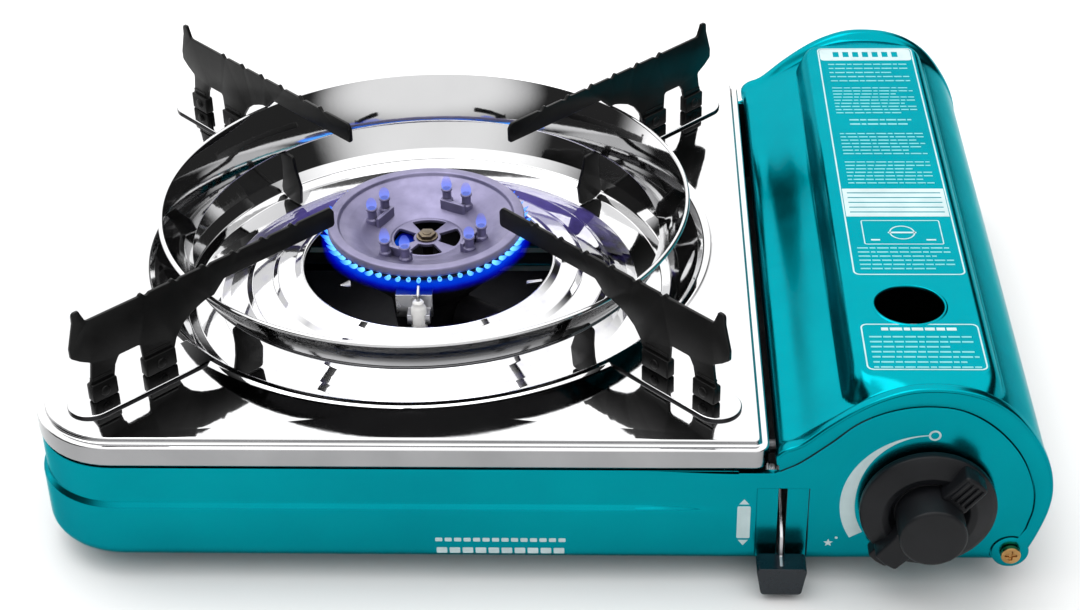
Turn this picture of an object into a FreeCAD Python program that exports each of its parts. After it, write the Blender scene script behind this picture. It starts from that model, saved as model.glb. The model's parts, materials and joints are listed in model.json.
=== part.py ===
"""Portable butane cooker: a low sheet-steel case with a stainless top plate, one burner under a
lift-off trivet, and a cartridge bay under a hinged lid, with a control knob and a lock lever.

Frame: X to the right, Y to the rear, Z up, millimetres. The origin is on the table, under the middle
of the overall width and depth. Most pieces are drawn in the case frame, whose zero is the top plate's
front left corner at the height of its rim, or about the burner's axis.
"""
import FreeCAD, Part
import math
import os
import Sketcher
from FreeCAD import Placement, Rotation, Vector

doc = FreeCAD.newDocument("cooker")
sheet = doc.addObject("Spreadsheet::Sheet", "Dimensions")

CELLS = {
    # whole object
    "overall_width": 342, "overall_depth": 279.25, "rim_height": 55,
    "sheet_gauge": 1.0, "running_gap": 0.45,
    # top plate
    "plate_width": 248, "plate_depth": 256, "left_radius": 30, "right_radius": 5,
    "rim_depth": 7.7, "rim_step": 3.0, "deck_rise": 1.9, "pad_rise": 3.0,
    "pad_half_width": 8.3, "pad_centre": 149, "pad_start": 103.5,
    # lower case
    "case_overhang": 1.0, "case_right": 329, "case_bottom": -47, "case_top": -8.6,
    "band_top": -22.8, "band_bottom": -24.5, "band_depth": 1.4, "bottom_radius": 6,
    # lid and its pivots
    "lid_left": 250, "lid_crest": 25.5, "lid_flat": 23, "lid_right": 341,
    "pivot_across": 329.4, "pivot_down": -41.2, "pivot_radius": 1.9, "tab_radius": 6.3,
    "sight_hole_radius": 11.75, "sight_hole_across": 297, "sight_hole_along": 51.7,
    # burner
    "burner_across": 126, "burner_along": 127, "cap_radius": 37, "cap_top": 12.3,
    "cap_face": 11, "cap_under": 8.4, "recess_radius": 33, "cap_hub_level": 3.4, "cap_hub_radius": 13.2,
    "bowl_rim": 5.6, "bowl_floor": -31, "port_count": 60,
    "nozzle_circle": 22, "nozzle_radius": 1.9, "nozzle_top": 12.4,
    # trivet
    "ring_top_radius": 97.7, "ring_bottom_radius": 88.1, "ring_top": 22, "ring_bottom": 4.9,
    "arm_gauge": 1.3, "arm_top": 35, "arm_cap": 40, "arm_tip": 42.5, "arm_foot": 3.1,
    "foot_block_gauge": 3.4, "post_foot": -16.2,
    # knob and lever
    "knob_across": 300.2, "knob_down": -20.4, "knob_radius": 22.5, "knob_reach": 19,
    "hub_radius": 11, "shaft_radius": 3.5,
    "lever_across": 252.85, "lever_pivot_along": 24, "lever_pivot_down": -28, "lever_gauge": 1.2,
    # cartridge bay
    "cartridge_across": 299, "cartridge_down": -11.6, "cartridge_radius": 33.5,
    "foot_height": 8, "foot_radius": 9,
}
for row, (alias, number) in enumerate(CELLS.items(), start=1):
    sheet.set(f"A{row}", alias)
    sheet.set(f"B{row}", str(number))
    sheet.setAlias(f"B{row}", alias)
doc.recompute()


class Size:
    """A length that keeps its sheet expression, so that sums and products stay bound to the cells."""

    def __init__(self, text, number):
        self.text = text
        self.number = number

    def __float__(self):
        return float(self.number)

    def __add__(self, other):
        other = as_size(other)
        return Size(f"({self.text} + {other.text})", self.number + other.number)

    def __sub__(self, other):
        other = as_size(other)
        return Size(f"({self.text} - {other.text})", self.number - other.number)

    def __mul__(self, other):
        other = as_size(other)
        return Size(f"({self.text} * {other.text})", self.number * other.number)

    def __neg__(self):
        return Size(f"(0 - {self.text})", -self.number)


def as_size(item):
    return item if isinstance(item, Size) else Size(repr(float(item)), float(item))


def dim(alias):
    return Size("Dimensions." + alias, float(sheet.get(alias)))


def mm(alias):
    return float(sheet.get(alias))


GAUGE = mm("sheet_gauge")
CASE = Vector(mm("case_overhang") - mm("overall_width") / 2,
              mm("knob_reach") + 1 - mm("overall_depth") / 2, mm("rim_height"))
BURNER = CASE + Vector(mm("burner_across"), mm("burner_along"), 0)
UPRIGHT = Rotation()
FACING_FRONT = Rotation(Vector(1, 0, 0), 90)
ALONG_X = Rotation(Vector(0, 1, 0), 90)
REAR = mm("plate_depth") + mm("case_overhang")
FRONT = -mm("case_overhang")
DIAGONALS = {"front_left": 225, "front_right": 315, "rear_left": 135, "rear_right": 45}
nodes = []


def at(base, rotation=UPRIGHT):
    return Placement(base, rotation)


def keep(thing, label):
    """Names a finished sub-part and puts it on the list of nodes."""
    thing.Label = label
    nodes.append(thing)
    return thing


def feature(label, shape, base=CASE, rotation=UPRIGHT):
    """A sub-part whose shape is worked out with Part's own functions from the sheet's sizes."""
    thing = doc.addObject("Part::Feature", label)
    thing.Shape = shape.removeSplitter()
    thing.Placement = at(base, rotation)
    return keep(thing, label)


def bind(thing, **sizes):
    for name, size in sizes.items():
        size = as_size(size)
        setattr(thing, name, float(size))
        thing.setExpression(name, size.text)


def primitive(kind, label, base, rotation=UPRIGHT, **sizes):
    thing = doc.addObject("Part::" + kind, label)
    bind(thing, **sizes)
    thing.Placement = at(base, rotation)
    return thing


def combine(kind, label, base, tool):
    thing = doc.addObject("Part::" + kind, label)
    thing.Base = base
    thing.Tool = tool
    return keep(thing, label)


def polygon(body, plane, name, points):
    """A closed sketch whose corners are all held by sizes from the sheet."""
    sketch = body.newObject("Sketcher::SketchObject", name)
    support = next(item for item in body.Origin.OriginFeatures if item.Role == plane)
    sketch.AttachmentSupport = (support, "")
    sketch.MapMode = "FlatFace"
    corners = [(as_size(across), as_size(up)) for across, up in points]
    places = [Vector(float(across), float(up), 0) for across, up in corners]
    count = len(places)
    for i in range(count):
        sketch.addGeometry(Part.LineSegment(places[i], places[(i + 1) % count]))
    for i in range(count):
        sketch.addConstraint(Sketcher.Constraint("Coincident", i, 2, (i + 1) % count, 1))
    for i, (across, up) in enumerate(corners):
        for kind, size in (("DistanceX", across), ("DistanceY", up)):
            index = sketch.addConstraint(Sketcher.Constraint(kind, -1, 1, i, 1, float(size)))
            sketch.setExpression(f"Constraints[{index}]", size.text)
    return sketch


def new_body(name, base, rotation=UPRIGHT):
    body = doc.addObject("PartDesign::Body", name)
    body.Placement = at(base, rotation)
    return body


def turned(label, points, base=BURNER, rotation=UPRIGHT):
    """A round piece: its half section, as (radius, height), turned about the local Z axis."""
    body = new_body(label, base, rotation)
    sketch = polygon(body, "XZ_Plane", label + "_section", points)
    turn = body.newObject("PartDesign::Revolution", label + "_turn")
    turn.Profile = sketch
    turn.ReferenceAxis = (sketch, ["V_Axis"])
    turn.Angle = 360
    return keep(body, label)


def add_pad(body, sketch, thickness):
    pad = body.newObject("PartDesign::Pad", sketch.Name + "_pad")
    pad.Profile = sketch
    bind(pad, Length=thickness)
    pad.Midplane = True
    return pad


def plate(label, plane, points, thickness, base=CASE, rotation=UPRIGHT):
    """A flat piece of one outline, its thickness shared equally by both sides of the plane."""
    body = new_body(label, base, rotation)
    add_pad(body, polygon(body, plane, label + "_outline", points), thickness)
    return keep(body, label)


def block(low, high):
    """A box between two corners."""
    size = [high[i] - low[i] for i in range(3)]
    return Part.makeBox(size[0], size[1], size[2], Vector(*low))


def rod(radius, start, end):
    run = Vector(*end) - Vector(*start)
    return Part.makeCylinder(radius, run.Length, Vector(*start), run)


def slab(wire_or_face, low, high, along=Vector(0, 0, 1)):
    """Extrudes a flat outline from one level to another."""
    face = wire_or_face if wire_or_face.ShapeType == "Face" else Part.Face(wire_or_face)
    moved = face.copy()
    moved.translate(along * low)
    return moved.extrude(along * (high - low))


def rounded_outline(left, front, right, rear, left_radius, right_radius):
    """The plan of the plate and the case: large corners on the left, small ones on the right."""
    corners = [(left, front, left_radius), (right, front, right_radius),
               (right, rear, right_radius), (left, rear, left_radius)]
    edges = []
    ends = []
    for i, (x, y, radius) in enumerate(corners):
        before, after = corners[i - 1], corners[(i + 1) % 4]
        to_before = Vector(before[0] - x, before[1] - y, 0).normalize()
        to_after = Vector(after[0] - x, after[1] - y, 0).normalize()
        corner = Vector(x, y, 0)
        start, end = corner + to_before * radius, corner + to_after * radius
        middle = corner + (to_before + to_after) * radius * (1 - math.sqrt(0.5))
        edges.append(Part.Arc(start, middle, end).toShape())
        ends.append((start, end))
    for i in range(4):
        edges.append(Part.LineSegment(ends[i][1], ends[(i + 1) % 4][0]).toShape())
    return Part.Wire(Part.__sortEdges__(edges))


def case_outline(inset):
    return rounded_outline(FRONT + inset, FRONT + inset, mm("case_right") - inset, REAR - inset,
                           mm("left_radius") + 1 - inset, max(2.4 - inset, 0.6))


def plate_outline(inset):
    return rounded_outline(inset, inset, mm("plate_width") - inset, mm("plate_depth") - inset,
                           mm("left_radius") - inset, max(mm("right_radius") - inset, 1.2))


def bottom_edges(solid, level):
    return [edge for edge in solid.Edges
            if abs(edge.BoundBox.ZMin - level) < 1e-4 and abs(edge.BoundBox.ZMax - level) < 1e-4]


def tangent_arc(start, direction, end):
    """The arc from start to end that sets out along the direction, or a line where the two agree."""
    chord = end - start
    side = direction - chord * (direction.dot(chord) / chord.dot(chord))
    if side.Length < 1e-4:
        return Part.LineSegment(start, end).toShape()
    half_turn = direction.getAngle(chord)
    bulge = side.normalize() * (chord.Length / 2 * math.tan(half_turn / 2))
    return Part.Arc(start, start + chord / 2 + bulge, end).toShape()


def smooth_edges(points):
    """Tangent arcs through the points in the XZ plane, two arcs to each span."""
    knots = [Vector(x, 0, z) for x, z in points]
    ahead = knots[1:] + [knots[-1]]
    behind = [knots[0]] + knots[:-1]
    headings = [(b - a).normalize() for a, b in zip(behind, ahead)]
    edges = []
    for start, end, out, arrive in zip(knots, knots[1:], headings, headings[1:]):
        chord, total = end - start, out + arrive
        spread = 2 * (1 - out.dot(arrive))
        along = chord.dot(total)
        if spread < 1e-6:
            reach = chord.Length / 4
        else:
            reach = (math.sqrt(along ** 2 + spread * chord.dot(chord)) - along) / spread
        joint = (start + out * reach + end - arrive * reach) / 2
        edges.append(tangent_arc(start, out, joint))
        edges.append(tangent_arc(end, arrive * -1, joint))
    return edges


def in_front_plane(points, closing):
    """A flat face in the XZ plane: tangent arcs through the points, closed by straight lines."""
    corners = [points[-1]] + closing + [points[0]]
    lines = [Part.LineSegment(Vector(a[0], 0, a[1]), Vector(b[0], 0, b[1])).toShape()
             for a, b in zip(corners, corners[1:])]
    return Part.Face(Part.Wire(Part.__sortEdges__(smooth_edges(points) + lines)))


PIVOT = (mm("pivot_across"), mm("pivot_down"))
CREST = mm("lid_crest")
LID_LEFT = mm("lid_left")
LID_RIGHT = mm("lid_right")
ACROSS_Y = Vector(0, 1, 0)
BACKING = (0.35, 1.5)
BELOW = -60
FOOT_SCREW = 1.5

# The arched end of the front panel, which the lid's flange surrounds: (across, up) in the case frame.
SEAM = [(249.4, -8.6), (252.6, -7.1), (258, -4.0), (267, 3.6), (276.5, 12.2), (287, 17.0), (298, 18.6),
        (309, 17.0), (319.5, 10.6), (328.5, 0), (333.8, -12), (335, -22), (333.4, -31)]
SEAM_CLOSE = [PIVOT, (322.4, -48), (238, -48), (238, -8.6)]
# The lid's arched ends, from its left foot over the crest to the pivot.
ARCH = [(LID_LEFT, -2), (252.5, 0.8), (258, 3.4), (266, 10.4), (274, 16.6), (282, 21.4), (291, CREST - 0.8),
        (299.5, CREST), (309, CREST - 0.9), (318, 21.4), (326.5, 15.2), (334, 5.2), (339, -5),
        (LID_RIGHT, -15), (340.4, -24), (338, -33), (335.6, -39.6)]
ARCH_CLOSE = [PIVOT, (322, -41.2), (LID_LEFT, -7)]


def arch_face():
    return in_front_plane(ARCH, ARCH_CLOSE)


def seam_face(gap=0.0):
    face = in_front_plane(SEAM, SEAM_CLOSE)
    return face.makeOffset2D(gap) if gap else face


def pivot_disc(radius, low, high):
    return rod(radius, (PIVOT[0], low, PIVOT[1]), (PIVOT[0], high, PIVOT[1]))


def at_both_ends(solid):
    """A piece at the front and its mirror image at the rear."""
    middle = Vector(0, (FRONT + REAR) / 2, 0)
    return solid.fuse(solid.mirror(middle, ACROSS_Y))


# ---------------------------------------------------------------- case

def tray_solid(inset):
    """The tray's envelope: full size below the shoulder, drawn in above it."""
    low, high = mm("case_bottom") + inset, mm("case_top") + 4 * inset
    shoulder_low, shoulder_high = mm("band_bottom"), mm("band_top")
    band = mm("band_depth") + inset
    lower = slab(case_outline(inset), low, shoulder_low)
    lower = lower.makeFillet(mm("bottom_radius") - inset, bottom_edges(lower, low))
    upper = slab(case_outline(band), shoulder_high, high)
    wide, narrow = case_outline(inset), case_outline(band)
    wide.translate(Vector(0, 0, shoulder_low))
    narrow.translate(Vector(0, 0, shoulder_high))
    return lower.fuse([Part.makeLoft([wide, narrow], True, True), upper])


def lower_case():
    tray = tray_solid(0).cut(tray_solid(GAUGE))
    right, bottom, top = mm("case_right"), mm("case_bottom"), mm("case_top")
    # the lid covers the bay's right side and the end panels stand in for the tray's front and rear there
    side_sill = -30
    panel_left = 238
    tray = tray.cut(block((right - 6, FRONT + 2, side_sill), (right + 3, REAR - 2, 0)))
    tray = tray.cut(at_both_ends(block((panel_left, FRONT - 2, BELOW), (right + 3, BACKING[1], 10))))
    envelope = slab(rounded_outline(FRONT, FRONT, 360, REAR, mm("left_radius") + 1, 2), bottom, 60)
    envelope = envelope.makeFillet(mm("bottom_radius"), bottom_edges(envelope, bottom))
    emboss = slab(seam_face(), FRONT, 0.6, ACROSS_Y).cut(pivot_disc(mm("tab_radius") + 0.5, -5, 5))
    inner = arch_face().makeOffset2D(-GAUGE - 0.6)
    floor_strip = block((panel_left - 2, BACKING[0], bottom), (right - 0.6, BACKING[1], top))
    backing = slab(inner, BACKING[0], BACKING[1], ACROSS_Y).fuse(floor_strip)
    backing = backing.fuse(pivot_disc(5.4, BACKING[0], BACKING[1]))
    # the lever's channel is pressed in, with the slot through its middle
    lever_x = mm("lever_across")
    channel_half, channel_top = 8.6, -14.8
    slot_half = 1.4
    channel = block((lever_x - channel_half, FRONT - 1, BELOW),
                    (lever_x + channel_half, BACKING[0], channel_top))
    panel = emboss.fuse(backing).cut(channel).common(envelope)
    case = tray.fuse(at_both_ends(panel))
    slot = block((lever_x - slot_half, FRONT - 2, -50), (lever_x + slot_half, 2.6, channel_top - 0.6))
    case = case.cut(slot)
    nut_room = 4.4
    case = case.cut(at_both_ends(pivot_disc(mm("pivot_radius") + 0.05, -5, 5)))
    case = case.cut(at_both_ends(pivot_disc(nut_room, BACKING[1], 7)))
    knob_x, knob_z = mm("knob_across"), mm("knob_down")
    case = case.cut(rod(mm("shaft_radius") + 0.6, (knob_x, -5, knob_z), (knob_x, 5, knob_z)))
    for x, y in foot_places():
        case = case.cut(rod(FOOT_SCREW + 0.15, (x, y, BELOW), (x, y, bottom + 7)))
    return case.cut(vent_slots())


def foot_places():
    inset, right_pair = 35, 296
    return [(x, y) for y in (inset, mm("plate_depth") - inset) for x in (inset, right_pair)]


def vent_slots():
    """Air inlets in the floor under the burner."""
    half_length, half_width, pitch, spacing = 22, 2.5, 14, 40
    slots = [block((x - half_length, y - half_width, BELOW), (x + half_length, y + half_width, -40))
             for x in (mm("burner_across") - spacing, mm("burner_across") + spacing)
             for y in [mm("burner_along") + pitch * step for step in (-5, -4, 4, 5)]]
    return Part.makeCompound(slots)


def dish_section():
    """The sunken basin's upper face as (radius, height), from the deck in to the burner's hole."""
    return [(108.5, mm("deck_rise")), (106.2, 2.8), (104, 2.6), (102, 0.6), (98.6, -5.5), (95, -11.6),
            (92, -15.2), (88.5, -16.6), (79, -16.6), (75.5, -15.4), (69, -12.8), (67, -11.3), (59, -9.3),
            (57, -7.9), (50.5, -6.6), (47.8, -5.3), (46.9, -6.0)]


def radial_pad(half_width, rise, low, start):
    """A low raised pad on a diagonal, with a round outer end, drawn along +X from the axis."""
    end = mm("pad_centre")
    return block((start, -half_width, low), (end, half_width, rise)).fuse(
        Part.makeCylinder(half_width, rise - low, Vector(end, 0, low)))


def top_plate():
    gauge = GAUGE
    deck = mm("deck_rise")
    step = mm("rim_step")
    outer = slab(plate_outline(0), -mm("rim_depth"), 0)
    top_rim = [edge for edge in outer.Edges if edge.BoundBox.ZMin > -1e-4]
    outer = outer.makeFillet(1.2, top_rim).fuse(slab(plate_outline(step), -1, deck))
    inner = slab(plate_outline(gauge), -mm("rim_depth") - 1, -gauge)
    inner = inner.fuse(slab(plate_outline(step + gauge), -2, deck - gauge))
    sheet_body = outer.cut(inner)
    axis = Vector(mm("burner_across"), mm("burner_along"), 0)
    for angle in DIAGONALS.values():
        raised = radial_pad(mm("pad_half_width"), mm("pad_rise"), deck - gauge, mm("pad_start"))
        hollow = radial_pad(mm("pad_half_width") - gauge, mm("pad_rise") - gauge, -2, mm("pad_start") + 4)
        for solid in (raised, hollow):
            solid.rotate(Vector(0, 0, 0), Vector(0, 0, 1), angle)
            solid.translate(axis)
        sheet_body = sheet_body.fuse(raised).cut(hollow)
    upper = dish_section()
    lower = [(radius, level - gauge) for radius, level in reversed(upper)]
    wire = Part.makePolygon([Vector(r, 0, z) for r, z in upper + lower + upper[:1]])
    dish = Part.Face(wire).revolve(Vector(0, 0, 0), Vector(0, 0, 1), 360)
    dish.translate(axis)
    opening = Part.makeCylinder(upper[2][0], 30, axis - Vector(0, 0, 15))
    return sheet_body.cut(opening).fuse(dish)


feature("lower_case", lower_case())
feature("top_plate", top_plate())


def heat_shield():
    """The wall between the burner and the cartridge bay, with a foot and a hole for the gas pipe."""
    clear_of_corners = 5
    low, high = clear_of_corners, mm("plate_depth") - clear_of_corners
    wall = block((246.4, low, -45.9), (247.4, high, -9))
    foot = block((236, low, -45.9), (246.4, high, -44.9))
    return wall.fuse(foot).cut(rod(4, (240, PIPE_Y, PIPE_Z), (252, PIPE_Y, PIPE_Z)))


PIPE_Y = 44.8
PIPE_Z = -32.0
feature("heat_shield", heat_shield())

FOOT_NAMES = ("foot_front_left", "foot_front_right", "foot_rear_left", "foot_rear_right")
for foot_name, (foot_x, foot_y) in zip(FOOT_NAMES, foot_places()):
    foot_r, foot_h = dim("foot_radius"), dim("foot_height")
    turned(foot_name, [(1.7, 0), (1.7, foot_h * -1 + 3), (3.6, foot_h * -1 + 3), (3.6, -foot_h),
                       (foot_r - 2, -foot_h), (foot_r - 1, -foot_h + 1), (foot_r, 0)],
           CASE + Vector(foot_x, foot_y, mm("case_bottom")))


def screws(places, head_radius, head_height, shank_radius, length):
    """Pan-head screws with a cross recess; the head lies below the place, the shank above it."""
    solids = []
    for x, y, z in places:
        head = Part.makeCylinder(head_radius, head_height, Vector(x, y, z - head_height))
        shank = Part.makeCylinder(shank_radius, length, Vector(x, y, z))
        reach, width = head_radius * 0.6, head_radius * 0.16
        for across, along in ((reach, width), (width, reach)):
            head = head.cut(block((x - across, y - along, z - head_height - 1),
                                  (x + across, y + along, z - head_height * 0.45)))
        solids.append(head.fuse(shank))
    return Part.makeCompound(solids)


foot_level = mm("case_bottom") - mm("foot_height") + 3
feature("foot_screws", screws([(x, y, foot_level) for x, y in foot_places()], 3.2, 1.6, FOOT_SCREW, 9))


def pivot_screw():
    """A pan-head screw along Y with its head towards the local -Z side."""
    head_radius, head_height, length = 3.3, 1.9, 5.4
    return screws([(0, 0, 0)], head_radius, head_height, mm("pivot_radius"), length).Solids[0]


PIVOT_FRONT = CASE + Vector(PIVOT[0], FRONT - 0.35, PIVOT[1])
PIVOT_REAR = CASE + Vector(PIVOT[0], REAR + 0.35, PIVOT[1])
feature("lid_pivot_front", pivot_screw(), PIVOT_FRONT, Rotation(Vector(1, 0, 0), -90))
feature("lid_pivot_rear", pivot_screw(), PIVOT_REAR, Rotation(Vector(1, 0, 0), 90))


def hexagon(across_flats, height, bore):
    radius = across_flats / math.sqrt(3)
    corners = [Vector(radius * math.cos(math.radians(60 * i)), radius * math.sin(math.radians(60 * i)), 0)
               for i in range(7)]
    return Part.Face(Part.makePolygon(corners)).extrude(Vector(0, 0, height)).cut(
        Part.makeCylinder(bore, height))


def pivot_nuts():
    nut = hexagon(6.4, 2.2, mm("pivot_radius"))
    nut.rotate(Vector(0, 0, 0), Vector(1, 0, 0), -90)
    nut.translate(Vector(PIVOT[0], BACKING[1], PIVOT[1]))
    return Part.makeCompound([nut, nut.mirror(Vector(0, (FRONT + REAR) / 2, 0), ACROSS_Y)])


feature("pivot_nuts", pivot_nuts())


# ---------------------------------------------------------------- lid

def lid():
    """A pressed cover: an arched skin with flanges at both ends and a flat panel raised along its top."""
    flat = mm("lid_flat")
    end = 9.0
    crown = [(270.5, 12), (277, flat - 1), (279, flat), (317.5, flat), (319.5, flat - 1), (325.5, 12)]

    def prism(points, low, high):
        wire = Part.makePolygon([Vector(x, 0, z) for x, z in points + points[:1]])
        return slab(wire, low, high, ACROSS_Y)

    def envelope(inset, flange):
        """The cover as a full solid: arched at both ends, with the flat panel in between."""
        face = arch_face().makeOffset2D(-inset) if inset else arch_face()
        arch = slab(face, FRONT + flange, REAR - flange, ACROSS_Y)
        reach = end - inset
        arch = arch.cut(block((255, FRONT + reach, flat - inset), (340, REAR - reach, 40)))
        raised = [(x + inset * side, z - inset * drop) for (x, z), side, drop in
                  zip(crown, (1, 1, 0.4, -0.4, -1, -1), (0, 0.4, 1, 1, 0.4, 0))]
        return arch.fuse(prism(raised, FRONT + reach, REAR - reach))

    through = slab(seam_face(mm("running_gap")), FRONT - 2, REAR + 2, ACROSS_Y)
    shell = envelope(0, 0).cut(envelope(GAUGE, 0.9)).cut(through)
    shell = shell.cut(block((315, FRONT + 0.9, -60), (350, REAR - 0.9, -38.6)))
    shell = shell.cut(block((315, FRONT + 0.9, -60), (332, REAR - 0.9, -34)))
    tab = at_both_ends(pivot_disc(mm("tab_radius"), FRONT, FRONT + 0.9))
    shell = shell.fuse(tab).cut(at_both_ends(pivot_disc(mm("pivot_radius") + 0.05, -5, 5)))
    hole = (mm("sight_hole_across"), mm("sight_hole_along"))
    return shell.cut(rod(mm("sight_hole_radius"), (hole[0], hole[1], 10), (hole[0], hole[1], 40)))


feature("lid", lid())


# ---------------------------------------------------------------- burner

def burner_bowl():
    rim, floor = dim("bowl_rim"), dim("bowl_floor")
    return turned("burner_bowl", [(0, floor), (11, floor), (12.5, -19), (28.5, -2.5), (31, 1), (31, rim),
                                  (33.5, rim), (33.5, 1.4), (31, -2.8), (15.2, -19), (13.5, floor - 3),
                                  (0, floor - 3)])


def port_ring():
    """The ring under the cap, with a row of narrow flame ports."""
    low, high = mm("bowl_rim"), mm("cap_under")
    ring = Part.makeCylinder(35.2, high - low, Vector(0, 0, low)).cut(
        Part.makeCylinder(31, high - low, Vector(0, 0, low)))
    count = int(mm("port_count"))
    ports = []
    for i in range(count):
        port = block((29, -0.75, low + 0.9), (38, 0.75, high + 1))
        port.rotate(Vector(0, 0, 0), Vector(0, 0, 1), 360 * i / count)
        ports.append(port)
    return ring.cut(Part.makeCompound(ports))


def burner_cap():
    """The cap: a raised rim round a dished face, with four curved openings in the hub round the bolt."""
    face, under, top = mm("cap_face"), mm("cap_under"), mm("cap_top")
    radius, recess = mm("cap_radius"), mm("recess_radius")
    hub, hub_radius = mm("cap_hub_level"), mm("cap_hub_radius")
    bolt_hole, gauge = 2.1, 1.5
    section = [(bolt_hole, hub - gauge), (hub_radius + 0.4, hub - gauge), (31, under), (radius - 1.4, under),
               (radius, under + 1.2), (radius, top - 0.9), (radius - 0.8, top), (recess + 1.2, top),
               (recess + 0.2, top - 0.8), (recess, face), (hub_radius, hub), (bolt_hole, hub)]
    wire = Part.makePolygon([Vector(r, 0, z) for r, z in section + section[:1]])
    cap = Part.Face(wire).revolve(Vector(0, 0, 0), Vector(0, 0, 1), 360)
    petals = []
    petal_spread, petal_inner, petal_outer = 62, 5.2, hub_radius - 0.8
    base = Vector(0, 0, hub - 2 * gauge)
    for quarter in range(4):
        sector = Part.makeCylinder(petal_outer, 4 * gauge, base, Vector(0, 0, 1), petal_spread)
        sector = sector.cut(Part.makeCylinder(petal_inner, 4 * gauge, base))
        sector.rotate(Vector(0, 0, 0), Vector(0, 0, 1), 90 * quarter - petal_spread / 2)
        petals.append(sector)
    return cap.cut(Part.makeCompound(petals))


def room_above_cap():
    """The space over the cap's dished face, up past the nozzles."""
    hub, face, recess = mm("cap_hub_level"), mm("cap_face"), mm("recess_radius")
    dish = Part.makeCone(mm("cap_hub_radius"), recess, face - hub, Vector(0, 0, hub))
    return dish.fuse(Part.makeCylinder(recess, 10, Vector(0, 0, face)))


def nozzle_pair(middle_angle):
    """Two upright flame nozzles held by one strap that is welded to the cap's dished face."""
    circle, radius, top = mm("nozzle_circle"), mm("nozzle_radius"), mm("nozzle_top")
    low = mm("cap_hub_level")
    spread = 11.5
    strap_top = top - 4.1
    points = []
    solid = None
    for angle in (middle_angle - spread, middle_angle + spread):
        x, y = circle * math.cos(math.radians(angle)), circle * math.sin(math.radians(angle))
        points.append(Vector(x, y, 0))
        tube = Part.makeCylinder(radius - 0.3, top - low - 1.6, Vector(x, y, low))
        tube = tube.fuse(Part.makeCone(radius - 0.3, radius + 0.2, 1.0, Vector(x, y, top - 1.6)))
        tube = tube.fuse(Part.makeCylinder(radius + 0.2, 0.6, Vector(x, y, top - 0.6)))
        solid = tube if solid is None else solid.fuse(tube)
    along = points[1] - points[0]
    strap = block((-2.6, -1.3, low), (along.Length + 2.6, 1.3, strap_top))
    strap.rotate(Vector(0, 0, 0), Vector(0, 0, 1), math.degrees(math.atan2(along.y, along.x)))
    strap.translate(points[0])
    solid = solid.fuse(strap).common(room_above_cap())
    for point in points:
        solid = solid.cut(Part.makeCylinder(0.9, 4, Vector(point.x, point.y, top - 3.5)))
    return solid


burner_bowl()
feature("burner_port_ring", port_ring(), BURNER)
feature("burner_cap", burner_cap(), BURNER)
bolt_end, hub_level = dim("bowl_floor"), dim("cap_hub_level")
turned("cap_bolt", [(0, bolt_end), (1.9, bolt_end), (1.9, hub_level), (3.6, hub_level),
                    (3.6, hub_level + 1.4), (2.6, hub_level + 2.2), (0, hub_level + 2.2)])
for pair in range(4):
    feature(f"nozzle_pair_{pair + 1}", nozzle_pair(62 + 90 * pair), BURNER)

# The mixing tube leaves the bowl towards the right front, where the gas pipe meets it.
TUBE_HEADING = math.atan2(PIPE_Y + 9 - mm("burner_along"), 233.4 - mm("burner_across"))
TUBE = Rotation(Vector(0, 0, 1), math.degrees(TUBE_HEADING)).multiply(ALONG_X)
TUBE_BASE = BURNER + Vector(0, 0, -25)
turned("mixing_tube", [(5.6, 16.4), (7.2, 16.4), (7.2, 60), (5.6, 74), (5.6, 84), (8.8, 108), (8.8, 122),
                       (7.4, 122), (7.4, 108), (4.2, 84), (4.2, 74), (5.6, 60)], TUBE_BASE, TUBE)
turned("injector", [(0, 112), (1.6, 112), (1.6, 116), (4.1, 118), (4.1, 127), (5.4, 127), (5.4, 131),
                    (0, 131)], TUBE_BASE, TUBE)


def burner_bracket():
    """A bent strap that carries the bowl above the case's floor."""
    floor = mm("case_bottom") + GAUGE
    under = mm("bowl_floor") - 3
    saddle = block((-13, -9, under - 1.5), (13, 9, under))
    legs = block((-13, -9, floor), (-11.5, 9, under)).fuse(block((11.5, -9, floor), (13, 9, under)))
    feet = block((-26, -9, floor), (-11.5, 9, floor + 1.5))
    feet = feet.fuse(block((11.5, -9, floor), (26, 9, floor + 1.5)))
    return saddle.fuse([legs, feet])


feature("burner_bracket", burner_bracket(), BURNER)


ELECTRODE_OUT = 42.4
CERAMIC_RADIUS = 2.9


def electrode_bracket():
    """A bent strap at the front of the bowl, wider on the left, with a clip round the electrode."""
    left, right, low, high, gauge = -8.6, 4.9, -6.5, 3, 1.2
    front = CERAMIC_RADIUS + 0.1 - ELECTRODE_OUT
    bowl_radius = 33.6
    strap = block((left, front, low), (right, front + gauge, high))
    strap = strap.fuse(block((left, front, high - 1), (right, -bowl_radius, high)))
    clip = block((-4.2, -2 - ELECTRODE_OUT, low), (4.2, front + gauge, low + 4))
    bowl = Part.makeCylinder(bowl_radius, 20, Vector(0, 0, -8))
    ceramic = Part.makeCylinder(CERAMIC_RADIUS + 0.05, 18, Vector(0, -ELECTRODE_OUT, -14))
    return strap.fuse(clip).cut(ceramic).cut(bowl)


feature("electrode_bracket", electrode_bracket(), BURNER)
turned("electrode_ceramic", [(0.7, -14), (CERAMIC_RADIUS, -14), (CERAMIC_RADIUS, -0.5), (2.1, 1.2),
                             (2.1, 2.0), (1.4, 2.8), (0.7, 2.8)], BURNER - Vector(0, ELECTRODE_OUT, 0))


def electrode_wire():
    """The spark wire: up through the ceramic, then bent in towards the flame ports."""
    elbow = (0, -ELECTRODE_OUT, 4.6)
    upright = rod(0.65, (0, -ELECTRODE_OUT, -14), elbow)
    return upright.fuse([rod(0.65, elbow, (0, -38.6, 6.4)), Part.makeSphere(0.65, Vector(*elbow))])


feature("electrode_wire", electrode_wire(), BURNER)

# ---------------------------------------------------------------- gas system

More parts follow.
